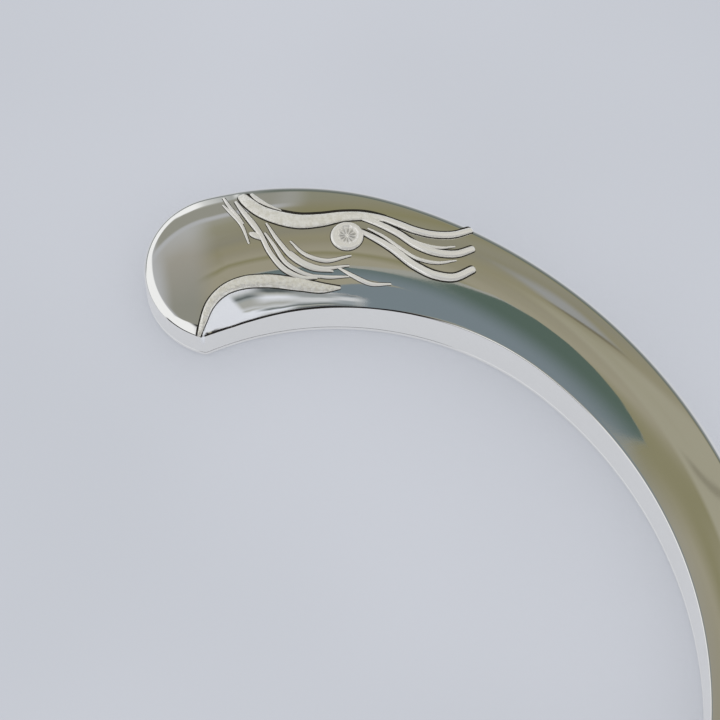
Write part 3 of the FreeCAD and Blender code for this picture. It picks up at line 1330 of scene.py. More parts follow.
        # The skirt points at 1.0 carry the dark lines of painted shade and patina.
        profile = [
            (half + outer, -self.sunk * level, 1.0),
            (half + outer, -self.bite * level, 1.0),
            (half + self.line_flat * outer, self.lay * level, 1.0),
        ]
        for part, rise, shade in zip(*self._section(ridge)):
            profile.append((half * part, self.lay + height * rounding**0.6 * rise, shade))
        profile += [
            (-half - self.line_flat * inner, self.lay * level, 1.0),
            (-half - inner, -self.bite * level, 1.0),
            (-half - inner, -self.sunk * level, 1.0),
        ]
        return profile

    def build_ridge(self, ridge: Ridge) -> bpy.types.Object:
        """Build one ridge from a grid wrapped round its line.

        Args:
            ridge: the ridge to build.

        Returns:
            The ridge on the upper head.
        """
        line, along, width, height, rounding = self._stations(ridge)
        outward = self._outward(line, along)
        profile = self._profile(ridge, width, height, rounding)
        rings = ridge.stations
        segments = len(profile)
        deselect_all()
        bpy.ops.mesh.primitive_grid_add(x_subdivisions=segments, y_subdivisions=rings, size=1.0)
        piece = bpy.context.object
        piece.name = ridge.name
        grid = np.zeros((rings + 1, segments + 1, 3))
        shades = np.zeros((rings + 1, segments + 1))
        for number in range(segments + 1):
            offset, lift, shade = profile[number % segments]
            points = line + outward * offset[:, None]
            grid[:, number, :2] = points
            grid[:, number, 2] = self._face(points) + lift
            shades[:, number] = shade
        grid[0] = grid[0].mean(axis=0)
        grid[-1] = grid[-1].mean(axis=0)
        place_vertices(piece, grid.reshape(-1, 3))
        # Painted shade and patina, which the ridge materials darken by.
        add_attribute(piece, "shade_and_patina", shades)
        return piece

    def build_eye(self) -> bpy.types.Object:
        """Build the round eye with its pleated dimple, from a grid wrapped into rings and spokes.

        Returns:
            The eye on the upper head.
        """
        rings, spokes = self.eye_rings, self.eye_spokes
        deselect_all()
        bpy.ops.mesh.primitive_grid_add(x_subdivisions=spokes, y_subdivisions=rings, size=1.0)
        piece = bpy.context.object
        piece.name = "eye"
        skirt = [self.eye_radius + self.eye_shade_patina_line] * 2
        away = np.concatenate([np.linspace(0.0, self.eye_radius, rings - 1), skirt])
        turn = np.linspace(0.0, 2.0 * math.pi, spokes + 1)
        radius, angle = np.meshgrid(away, turn, indexing="ij")
        middle = self.plan.head_point(np.array(self.eye_back), np.array(self.eye_across))
        points = middle + radius[..., None] * np.stack([np.cos(angle), np.sin(angle)], axis=-1)
        width = self.dimple_radius + self.dimple_shift * np.cos(angle - math.radians(self.dimple_way))
        ring = 0.5 * (width + self.eye_radius)
        half = 0.5 * (self.eye_radius - width)
        across_ring = np.clip(np.abs(radius - ring) / half, 0.0, 1.0)
        bank = self.eye_height * np.sqrt(1.0 - across_ring**self.bank_power)
        inside = radius < ring
        dimple = np.clip(1.0 - radius / width, 0.0, 1.0)
        pleat = np.cos(self.pleats * angle) * np.sin(math.pi * np.clip(radius / ring, 0, 1))
        bottom = self.eye_height - self.dimple_depth + self.dimple_dome * dimple
        lift = np.where(inside, np.maximum(bank, bottom) + self.pleat_height * pleat, bank)
        lift = np.where(radius > self.eye_radius - 1e-6, self.lay, lift)
        lift[-1] = -self.sunk
        lift[-2] = -self.bite
        place_vertices(piece, with_height(points, self._face(points) + lift).reshape(-1, 3))
        # Painted shade in the dimple, darker in the pleats' valleys, and the dark ring of painted shade and
        # patina round the eye.
        share = radius / width
        shaded = smooth_step(*self.shade_start, share) * (1.0 - smooth_step(*self.shade_end, share))
        shaded = self.least_shade + (1.0 - self.least_shade) * shaded
        in_dimple = np.where(inside, shaded, 0.0) * (dimple > 0.0)
        dark = np.where(radius > self.eye_radius - 0.02, 1.0, 0.0)
        dark = np.maximum(dark, (self.dimple_shade - self.pleat_valley_shade * pleat) * in_dimple)
        add_attribute(piece, "shade_and_patina", dark)
        self._fill_base(piece)
        return piece

    @staticmethod
    def _fill_base(piece: bpy.types.Object) -> None:
        """Merge the eye's seam and close its underside.

        Args:
            piece: the eye.
        """
        deselect_all()
        piece.select_set(True)
        bpy.context.view_layer.objects.active = piece
        bpy.ops.object.mode_set(mode="EDIT")
        bpy.ops.mesh.select_all(action="SELECT")
        bpy.ops.mesh.remove_doubles(threshold=MERGE_WITHIN * MM)
        bpy.ops.mesh.select_all(action="DESELECT")
        bpy.ops.mesh.select_non_manifold()
        bpy.ops.mesh.edge_face_add()
        bpy.ops.object.mode_set(mode="OBJECT")
        piece.select_set(False)

    def build(self, head: Head, dress: dict[Grain, bpy.types.Material]) -> list[bpy.types.Object]:
        """Build one head's ornament.

        Args:
            head: which head.
            dress: the material for each grain.

        Returns:
            The finished pieces: the ridges of each grain, the polished ones with the eye.
        """
        groups: dict[Grain, list[bpy.types.Object]] = {grain: [] for grain in Grain}
        for ridge in self.brow() + self.strands() + self.jaw() + self.tendrils():
            groups[ridge.grain].append(self.build_ridge(ridge))
        groups[Grain.POLISHED].append(self.build_eye())
        names = {Grain.POLISHED: "crest", Grain.SATIN: "brow", Grain.STIPPLED: "jaw"}
        finished = []
        for grain, pieces in groups.items():
            piece = join_pieces(pieces, f"{head.name.lower()}_{names[grain]}")
            if head is Head.LOWER:
                flip_across(piece)
            close_and_smooth(piece, 50.0)
            piece.data.materials.clear()
            piece.data.materials.append(dress[grain])
            finished.append(piece)
        return finished


def flip_across(piece: bpy.types.Object) -> None:
    """Mirror a piece's mesh to the other half of the C.

    Args:
        piece: the piece to mirror.
    """
    deselect_all()
    piece.select_set(True)
    bpy.context.view_layer.objects.active = piece
    bpy.ops.object.mode_set(mode="EDIT")
    bpy.ops.mesh.select_all(action="SELECT")
    bpy.ops.transform.resize(value=(1.0, -1.0, 1.0), center_override=(0.0, 0.0, 0.0))
    bpy.ops.mesh.flip_normals()
    bpy.ops.object.mode_set(mode="OBJECT")
    piece.select_set(False)


# ---------------------------------------------------------------------------------------------------------
# Finishes
# ---------------------------------------------------------------------------------------------------------


class Bench:
    """Adds and links the nodes of one material or world."""

    def __init__(self, tree: bpy.types.NodeTree) -> None:
        """Start from an empty node tree."""
        self.tree = tree
        tree.nodes.clear()

    def add(self, kind: str, **settings: object) -> bpy.types.Node:
        """Add a node and set its properties.

        Args:
            kind: the node's type.
            settings: properties by name.

        Returns:
            The node.
        """
        node = self.tree.nodes.new(kind)
        for name, value in settings.items():
            setattr(node, name, value)
        return node

    def feed(self, node: bpy.types.Node, socket: str | int, source: Source) -> None:
        """Set one input of a node to a value, or link it to another node's output.

        Args:
            node: the node.
            socket: the input's name or number.
            source: the value, or the socket to link.
        """
        if isinstance(source, bpy.types.NodeSocket):
            self.tree.links.new(source, node.inputs[socket])
        else:
            node.inputs[socket].default_value = source

    def math(self, operation: str, first: Source, second: Source = 0.0, third: Source = 0.0) -> Socket:
        """Add a Math node.

        Args:
            operation: what it does.
            first: its first value.
            second: its second value.
            third: its third value, for MULTIPLY_ADD.

        Returns:
            The socket of the result.
        """
        node = self.add("ShaderNodeMath", operation=operation)
        self.feed(node, 0, first)
        self.feed(node, 1, second)
        if operation == "MULTIPLY_ADD":
            self.feed(node, 2, third)
        return node.outputs[0]

    def rise(self, low: float, high: float, source: Source) -> Socket:
        """Add a smooth rise.

        Args:
            low: where it is still 0.
            high: where it reaches 1.
            source: the value that it follows.

        Returns:
            The socket of the rise.
        """
        node = self.add("ShaderNodeMapRange", interpolation_type="SMOOTHSTEP")
        self.feed(node, 0, source)
        self.feed(node, 1, low)
        self.feed(node, 2, high)
        return node.outputs[0]

    def mix(self, factor: Source, first: Source, second: Source) -> Socket:
        """Mix two colours.

        Args:
            factor: the share of the second one.
            first: the first colour.
            second: the second colour.

        Returns:
            The socket of the colour.
        """
        node = self.add("ShaderNodeMix", data_type="RGBA", clamp_factor=True)
        self.feed(node, 0, factor)
        self.feed(node, 6, first)
        self.feed(node, 7, second)
        return node.outputs[2]

    def noise(self, vector: Socket, scale: float, detail: float = 3.0, roughness: float = 0.5) -> Socket:
        """Add a Noise node.

        Args:
            vector: the socket of the place.
            scale: how fine it is.
            detail: how many finer layers it has.
            roughness: how strong they are.

        Returns:
            The socket of the value.
        """
        node = self.add("ShaderNodeTexNoise")
        self.feed(node, "Vector", vector)
        self.feed(node, "Scale", scale)
        self.feed(node, "Detail", detail)
        self.feed(node, "Roughness", roughness)
        return node.outputs[0]

    def attribute(self, name: str) -> Socket:
        """Return the value socket of a mesh attribute."""
        return self.add("ShaderNodeAttribute", attribute_name=name).outputs["Fac"]

    def bump(self, height: Socket, strength: float, depth: float, under: Socket | None = None) -> Socket:
        """Add a Bump node.

        Args:
            height: the socket of the height.
            strength: the node's strength.
            depth: the node's distance, in metres.
            under: the socket of the normal that it adds to, if there is one.

        Returns:
            The socket of the normal.
        """
        node = self.add("ShaderNodeBump")
        self.feed(node, "Height", height)
        self.feed(node, "Strength", strength)
        self.feed(node, "Distance", depth)
        if under is not None:
            self.feed(node, "Normal", under)
        return node.outputs[0]

    def within(self, start: Span, end: Span, source: Source) -> Socket:
        """Return 1 where a value has risen past a first span and not yet past a second."""
        return self.math("MULTIPLY", self.rise(*start, source), self.rise(*end, source))

    def ramp(self, factor: Source, stops: list[tuple[float, Colour]]) -> Socket:
        """Add a Color Ramp.

        Args:
            factor: the value that it follows.
            stops: its places, in rising order, with their colours.

        Returns:
            The socket of the colour.
        """
        node = self.add("ShaderNodeValToRGB")
        self.feed(node, 0, factor)
        bar = node.color_ramp
        bar.elements[0].position, bar.elements[0].color = stops[0][0], (*stops[0][1], 1.0)
        bar.elements[1].position, bar.elements[1].color = stops[-1][0], (*stops[-1][1], 1.0)
        for place, colour in stops[1:-1]:
            element = bar.elements.new(place)
            element.color = (*colour, 1.0)
        return node.outputs[0]


@dataclass(frozen=True)
class ScoopPaintedReflections:
    """Painted reflections and shade in the satin scoop: white near the nose, then a shaded hollow with a
    pale streak.

    Each list of stops runs from the jaw, 0, to the inner rim, 1.
    """

    dark: Colour = (0.120, 0.142, 0.142)
    grey: Colour = (0.390, 0.415, 0.415)
    cream: Colour = (0.470, 0.475, 0.440)
    pale: Colour = (0.690, 0.705, 0.715)
    white: Colour = (0.900, 0.925, 0.985)
    blue: Colour = (0.340, 0.375, 0.395)
    ripple_scale: float = 700.0
    ripple_share: float = 0.10
    white_slant: float = -1.6
    white_end: Span = (-1.5, -0.7)
    hollow_start: Span = (1.0, 3.2)
    narrow_start: Span = (4.6, 7.4)
    tail_start: Span = (9.6, 12.2)

    def colour(self, bench: Bench, place: Socket) -> Socket:
        """Return the socket of the scoop's painted reflections and shade.

        Args:
            bench: the bench that the nodes are added on.
            place: the socket of the Object coordinates.

        Returns:
            The colour.
        """
        back = bench.attribute("scoop_back")
        share = bench.attribute("scoop_share")
        ripple = bench.noise(place, self.ripple_scale, 2.0)
        ripple = bench.math("MULTIPLY_ADD", ripple, self.ripple_share, -0.5 * self.ripple_share)
        share = bench.math("ADD", share, ripple)
        first = bench.ramp(
            share,
            [
                (0.0, self.white),
                (0.12, self.pale),
                (0.20, self.grey),
                (0.29, self.dark),
                (0.36, self.grey),
                (0.44, self.cream),
                (0.58, self.cream),
                (0.68, self.pale),
                (0.73, self.cream),
                (0.80, self.white),
                (1.0, self.white),
            ],
        )
        hollow = bench.ramp(
            share,
            [
                (0.0, self.grey),
                (0.06, self.dark),
                (0.14, self.dark),
                (0.22, self.cream),
                (0.38, self.white),
                (0.52, self.pale),
                (0.62, self.cream),
                (0.75, self.pale),
                (0.84, self.dark),
                (0.91, self.white),
                (1.0, self.pale),
            ],
        )
        narrow = bench.ramp(
            share,
            [
                (0.0, self.pale),
                (0.10, self.grey),
                (0.32, self.grey),
                (0.44, self.pale),
                (0.62, self.pale),
                (0.74, self.grey),
                (0.84, self.dark),
                (0.93, self.cream),
                (1.0, self.dark),
            ],
        )
        tail = bench.ramp(
            share,
            [
                (0.0, self.dark),
                (0.12, self.blue),
                (0.26, self.pale),
                (0.44, self.pale),
                (0.58, self.blue),
                (0.80, self.blue),
                (1.0, self.dark),
            ],
        )
        start = bench.math("MULTIPLY_ADD", share, self.white_slant, back)
        tone = bench.mix(bench.rise(*self.white_end, start), (*self.white, 1.0), first)
        tone = bench.mix(bench.rise(*self.hollow_start, back), tone, hollow)
        tone = bench.mix(bench.rise(*self.narrow_start, back), tone, narrow)
        return bench.mix(bench.rise(*self.tail_start, back), tone, tail)


@dataclass(frozen=True)
class Metal:
    """One metal finish: its colour, its gloss, its scratches and its stipple."""

    name: str
    colour: Colour
    shade: Colour
    metallic: float = 1.0
    roughness: float = 0.02
    roughness_spread: float = 0.03
    scratch: float = 0.01
    stipple: float = 0.0
    stipple_scale: float = 5200.0
    # Colour of the painted shade and patina beside the ridges and in the eye's dimple.
    shade_and_patina: Colour | None = None
    cloud_scale: float = 60.0
    satin_rise: float = 0.0
    satin_loss: float = 0.8
    shade_and_patina_rough: float = 0.3
    cloud_span: Span = (0.35, 0.7)
    shade_and_patina_span: Span = (0.15, 0.9)
    fine_scale: float = 900.0
    scratch_turn: float = 0.6
    scratch_stretch: float = 14.0
    scratch_depth: float = 0.00002
    stipple_depth: float = 0.00006

    def _surface(self, bench: Bench, place: Socket) -> Socket:
        """Add the fine scratches and the stipple.

        Args:
            bench: the bench that the nodes are added on.
            place: the socket of the Object coordinates.

        Returns:
            The socket of the normal.
        """
        stretch = bench.add("ShaderNodeMapping")
        bench.feed(stretch, "Vector", place)
        bench.feed(stretch, "Rotation", (0.0, 0.0, self.scratch_turn))
        bench.feed(stretch, "Scale", (1.0, self.scratch_stretch, 1.0))
        lines = bench.noise(stretch.outputs[0], self.fine_scale, 4.0, 0.7)
        surface = bench.bump(lines, self.scratch, self.scratch_depth)
        if self.stipple > 0.0:
            grains = bench.add("ShaderNodeTexVoronoi", feature="F1")
            bench.feed(grains, "Vector", place)
            bench.feed(grains, "Scale", self.stipple_scale)
            surface = bench.bump(grains.outputs["Distance"], self.stipple, self.stipple_depth, surface)
        return surface

    def make(self) -> bpy.types.Material:
        """Build the material.

        Returns:
            The material, on Object coordinates.
        """
        material = bpy.data.materials.new(self.name)
        material.use_nodes = True
        bench = Bench(material.node_tree)
        place = bench.add("ShaderNodeTexCoord").outputs["Object"]
        cloud = bench.noise(place, self.cloud_scale, 4.0, 0.6)
        fine = bench.noise(place, self.fine_scale, 3.0, 0.6)
        colour = bench.mix(bench.rise(*self.cloud_span, cloud), (*self.colour, 1.0), (*self.shade, 1.0))
        rough = bench.math("MULTIPLY_ADD", fine, self.roughness_spread, self.roughness)
        shader = bench.add("ShaderNodeBsdfPrincipled")
        bench.feed(shader, "Metallic", self.metallic)
        bench.feed(shader, "Normal", self._surface(bench, place))
        # Darken and roughen where the attribute of painted shade and patina says.
        if self.shade_and_patina is not None:
            dark = bench.rise(*self.shade_and_patina_span, bench.attribute("shade_and_patina"))
            colour = bench.mix(dark, colour, (*self.shade_and_patina, 1.0))
            rough = bench.math("MULTIPLY_ADD", dark, self.shade_and_patina_rough, rough)
        # Satin scoop: rougher, less metallic, and coloured with painted reflections and painted shade.
        if self.satin_rise > 0.0:
            satin = bench.attribute("satin")
            rough = bench.math("MULTIPLY_ADD", satin, self.satin_rise, rough)
            colour = bench.mix(satin, colour, ScoopPaintedReflections().colour(bench, place))
            loss = -self.satin_loss * self.metallic
            bench.feed(shader, "Metallic", bench.math("MULTIPLY_ADD", satin, loss, self.metallic))
        bench.feed(shader, "Base Color", colour)
        bench.feed(shader, "Roughness", rough)
        out = bench.add("ShaderNodeOutputMaterial")
        bench.feed(out, "Surface", shader.outputs[0])
        return material


@dataclass(frozen=True)
class Paper:
    """The pale paper that the rattle lies on.

    The silver mirrors it as a painted reflection, an even tone of its own that darkens away from the rattle.
    """

    colour: Colour = (0.600, 0.622, 0.678)
    shade: Colour = (0.565, 0.588, 0.640)
    # Painted reflection of the paper in the silver, darker far from the rattle.
    mirrored: Colour = (0.625, 0.640, 0.680)
    beyond: Colour = (0.150, 0.168, 0.155)
    # Share of glow in the camera's view, a painted light that lightens the rattle's shadow on the paper.
    camera_glow_share: float = 0.35
    mirror_share: float = 0.8
    roughness: float = 0.85
    broad_scale: float = 14.0
    broad_span: Span = (0.35, 0.65)
    fibre_scale: float = 1600.0
    fibre_strength: float = 0.25
    fibre_depth: float = 0.00005
    beyond_span: Span = (0.075, 0.120)

    def make(self) -> bpy.types.Material:
        """Build the paper's material.

        Returns:
            The material.
        """
        material = bpy.data.materials.new("pale_paper")
        material.use_nodes = True
        bench = Bench(material.node_tree)
        place = bench.add("ShaderNodeTexCoord").outputs["Object"]
        broad = bench.noise(place, self.broad_scale, 2.0)
        fibres = bench.noise(place, self.fibre_scale, 4.0, 0.65)
        colour = bench.mix(bench.rise(*self.broad_span, broad), (*self.colour, 1.0), (*self.shade, 1.0))
        shader = bench.add("ShaderNodeBsdfPrincipled")
        bench.feed(shader, "Base Color", colour)
        bench.feed(shader, "Roughness", self.roughness)
        bench.feed(shader, "Specular IOR Level", 0.0)
        bench.feed(shader, "Normal", bench.bump(fibres, self.fibre_strength, self.fibre_depth))
        away = bench.add("ShaderNodeVectorMath", operation="LENGTH")
        bench.feed(away, 0, place)
        glow = bench.add("ShaderNodeEmission")
        far = bench.rise(*self.beyond_span, away.outputs["Value"])
        light = bench.add("ShaderNodeLightPath")
        in_view = light.outputs["Is Camera Ray"]
        mirrored = bench.mix(far, (*self.mirrored, 1.0), (*self.beyond, 1.0))
        bench.feed(glow, "Color", bench.mix(in_view, mirrored, colour))
        first = bench.math("LESS_THAN", light.outputs["Diffuse Depth"], 0.5)
        in_metal = bench.math("MULTIPLY", light.outputs["Is Glossy Ray"], first)
        # For the camera the paper partly glows in its own colour, lightening the rattle's shadow; the silver
        # sees the painted reflection.
        both = bench.add("ShaderNodeMixShader")
        share = bench.math("MULTIPLY", in_view, self.camera_glow_share)
        bench.feed(both, 0, bench.math("MULTIPLY_ADD", in_metal, self.mirror_share, share))
        bench.feed(both, 1, shader.outputs[0])
        bench.feed(both, 2, glow.outputs[0])
        out = bench.add("ShaderNodeOutputMaterial")
        bench.feed(out, "Surface", both.outputs[0])
        return material


# ---------------------------------------------------------------------------------------------------------
# The studio
# ---------------------------------------------------------------------------------------------------------


@dataclass(frozen=True)
class Room:
    """The room that the silver mirrors: plain white light on the paper, soft colours in the metal.

    A span is a pair of numbers between which something fades in. Where the first is the larger one, it fades
    in as the value falls. The values are the parts of a unit vector, with x and y in the plan and z up, or
    the places where it meets a flat ceiling: over to the right, up ahead, and line for slanting stripes.
    """

    paper: Colour = (0.565, 0.588, 0.638)
    white: Colour = (1.0, 1.0, 1.0)
    olive: Colour = (0.235, 0.222, 0.130)
    taupe: Colour = (0.325, 0.305, 0.230)
    warm: Colour = (0.345, 0.330, 0.252)
    left_taupe: Colour = (0.335, 0.322, 0.285)
    left_low: Colour = (0.262, 0.262, 0.228)
    left_high: Colour = (0.430, 0.440, 0.445)
    streak: Colour = (0.300, 0.305, 0.300)
    streak_edge: Colour = (0.130, 0.118, 0.080)
    bright: Colour = (0.88, 0.89, 0.90)
    dark: Colour = (0.140, 0.160, 0.140)
    front_dark: Colour = (0.020, 0.018, 0.018)
    glow: Colour = (0.425, 0.435, 0.450)
    shelf: Colour = (0.285, 0.285, 0.250)
    least_rise: float = 0.08
    slant: float = -0.5
    warp_scale: float = 2.2
    warp_share: float = 0.12
    stripe_scale: float = 0.4
    stripe_start: float = -0.024
    blotch_scale: float = 3.1
    warm_over: Span = (0.11, 0.17)
    warm_line: Span = (0.71, 0.62)
    blotch_span: Span = (0.45, 0.75)
    blotch_share: float = 0.5
    streak_over: Span = (0.19, 0.26)
    streak_over_end: Span = (0.41, 0.31)
    streak_line: Span = (0.715, 0.735)
    streak_line_end: Span = (0.95, 0.80)
    edge_line: Span = (0.690, 0.716)
    edge_line_end: Span = (0.745, 0.722)
    edge_share: float = 0.75
    hair_over: Span = (0.16, 0.24)
    hair_line: Span = (0.452, 0.462)
    hair_line_end: Span = (0.482, 0.468)
    hair_share: float = 0.45
    left_side: Span = (-0.10, -0.42)
    beside: Span = (-0.03, -0.10)
    haze_height: Span = (0.72, 0.50)
    haze_share: float = 0.30
    band_height: Span = (0.51, 0.46)
    shelf_height: Span = (0.445, 0.405)
    shelf_ahead: Span = (0.52, 0.62)
    glow_side: Span = (-0.60, -0.76)
    bright_toward: Span = (0.05, 0.40)
    bright_side: Span = (-0.08, -0.30)
    bright_low: Span = (0.25, 0.16)
    dark_low: Span = (0.24, 0.12)
    bright_end: Span = (-0.74, -0.82)
    front: Span = (-0.34, -0.42)
    front_side: Span = (-0.55, -0.40)
    front_low: Span = (0.26, 0.20)

    def _stripes(self, bench: Bench, way: Socket, over: Socket, line: Socket) -> Socket:
        """Colour the ceiling's slanting stripes.

        Args:
            bench: the bench that the nodes are added on.
            way: the socket of the direction.
            over: how far to the right the direction meets the ceiling.
            line: where it meets the ceiling across the stripes.

        Returns:
            The colour.
        """
        place = bench.math("MULTIPLY_ADD", line, self.stripe_scale, self.stripe_start)
        ceiling = bench.ramp(
            place,
            [
                (0.0, self.taupe),
                (0.12, self.taupe),
                (0.150, self.olive),
                (0.170, self.taupe),
                (0.214, (0.288, 0.270, 0.200)),
                (0.262, (0.280, 0.262, 0.182)),
                (0.33, (0.250, 0.240, 0.184)),
                (0.44, (0.268, 0.258, 0.196)),
                (0.60, self.olive),
                (0.85, (0.25, 0.24, 0.175)),
                (1.0, (0.25, 0.25, 0.19)),
            ],
        )
        warm = bench.math("MULTIPLY", bench.rise(*self.warm_over, over), bench.rise(*self.warm_line, line))
        ceiling = bench.mix(warm, ceiling, (*self.warm, 1.0))
        blotch = bench.rise(*self.blotch_span, bench.noise(way, self.blotch_scale))
        blotch = bench.math("MULTIPLY", blotch, self.blotch_share)
        ceiling = bench.mix(blotch, ceiling, (*self.olive, 1.0))
        shown = bench.within(self.streak_over, self.streak_over_end, over)
        streak = bench.math("MULTIPLY", bench.within(self.streak_line, self.streak_line_end, line), shown)
        ceiling = bench.mix(streak, ceiling, (*self.streak, 1.0))
        hair = bench.within(self.hair_line, self.hair_line_end, line)
        hair = bench.math("MULTIPLY", hair, bench.rise(*self.hair_over, over))
        hair = bench.math("MULTIPLY", hair, self.hair_share)
        ceiling = bench.mix(hair, ceiling, (*self.streak_edge, 1.0))
        edge = bench.math("MULTIPLY", bench.within(self.edge_line, self.edge_line_end, line), shown)
        edge = bench.math("MULTIPLY", edge, self.edge_share)
        return bench.mix(edge, ceiling, (*self.streak_edge, 1.0))

    def _left_wall(self, bench: Bench, behind: Socket, way: tuple[Socket, Socket, Socket]) -> Socket:
        """Colour the room's left side, with its pale band and the shelf below it.

        Args:
            bench: the bench that the nodes are added on.
            behind: the colour where the left side doesn't reach.
            way: the sockets of the direction's x, y and z.

        Returns:
            The colour.
        """
        x, y, z = way
        glow = (*self.glow, 1.0)
        tone = bench.ramp(
            bench.math("MULTIPLY_ADD", y, 0.5, 0.5),
            [(0.0, self.left_low), (0.46, self.left_low), (0.75, self.left_taupe), (0.95, self.left_high)],
        )
        colour = bench.mix(bench.rise(*self.left_side, x), behind, tone)
        beside = bench.rise(*self.beside, x)
        haze = bench.math("MULTIPLY", bench.rise(*self.haze_height, z), self.haze_share)
        colour = bench.mix(bench.math("MULTIPLY", beside, haze), colour, glow)
        band = bench.math("MULTIPLY", bench.rise(*self.band_height, z), beside)
        colour = bench.mix(band, colour, glow)
        under = bench.math("MULTIPLY", bench.rise(*self.shelf_height, z), beside)
        under = bench.math("MULTIPLY", under, bench.rise(*self.shelf_ahead, y))
        colour = bench.mix(under, colour, (*self.shelf, 1.0))
        return bench.mix(bench.rise(*self.glow_side, x), colour, glow)

    def _low_walls(self, bench: Bench, over: Socket, way: tuple[Socket, Socket, Socket]) -> Socket:
        """Colour the low parts of the room: bright towards the camera and the left, dark elsewhere.

        Args:
            bench: the bench that the nodes are added on.
            over: the colour above the low parts.
            way: the sockets of the direction's x, y and z.

        Returns:
            The colour.
        """
        x, y, z = way
        bright = (*self.bright, 1.0)
        toward = bench.math("MULTIPLY_ADD", x, -0.70, bench.math("MULTIPLY", y, -0.71))
        toward = bench.rise(*self.bright_toward, toward)
        is_bright = bench.math("MAXIMUM", toward, bench.rise(*self.bright_side, x))
        low = bench.mix(is_bright, bench.rise(*self.dark_low, z), bench.rise(*self.bright_low, z))
        colour = bench.mix(low, over, bench.mix(is_bright, (*self.dark, 1.0), bright))
        colour = bench.mix(bench.rise(*self.bright_end, x), colour, bright)
        shaded = bench.math("MAXIMUM", bench.rise(*self.front_side, x), bench.rise(*self.front_low, z))
        before = bench.mix(shaded, bright, (*self.front_dark, 1.0))
        return bench.mix(bench.rise(*self.front, y), colour, before)

    def build(self) -> bpy.types.World:
        """Build the world.

        Returns:
            The world.
        """
        world = bpy.data.worlds.new("room")
        world.use_nodes = True
        bpy.context.scene.world = world
        bench = Bench(world.node_tree)
        direction = bench.add("ShaderNodeTexCoord").outputs["Generated"]
        parts = bench.add("ShaderNodeSeparateXYZ")
        bench.feed(parts, 0, direction)
        x, y, z = parts.outputs[0], parts.outputs[1], parts.outputs[2]
        height = bench.math("MAXIMUM", z, self.least_rise)
        over = bench.math("DIVIDE", x, height)
        up = bench.math("DIVIDE", y, height)
        line = bench.math("MULTIPLY_ADD", over, self.slant, up)
        warp = bench.noise(direction, self.warp_scale, 2.0)
        line = bench.math("MULTIPLY_ADD", warp, self.warp_share, line)
        metal = self._stripes(bench, direction, over, line)
        metal = self._left_wall(bench, metal, (x, y, z))
        metal = self._low_walls(bench, metal, (x, y, z))
        white = (*self.white, 1.0)
        light = bench.add("ShaderNodeLightPath")
        plain = bench.mix(light.outputs["Is Diffuse Ray"], (*self.paper, 1.0), white)
        seen = bench.mix(light.outputs["Is Glossy Ray"], plain, metal)
        spread = bench.math("GREATER_THAN", light.outputs["Diffuse Depth"], 0.5)
        back = bench.add("ShaderNodeBackground")
        bench.feed(back, "Color", bench.mix(spread, seen, white))
        bench.feed(back, "Strength", 1.0)
        out = bench.add("ShaderNodeOutputWorld")
        bench.feed(out, "Surface", back.outputs[0])
        return world


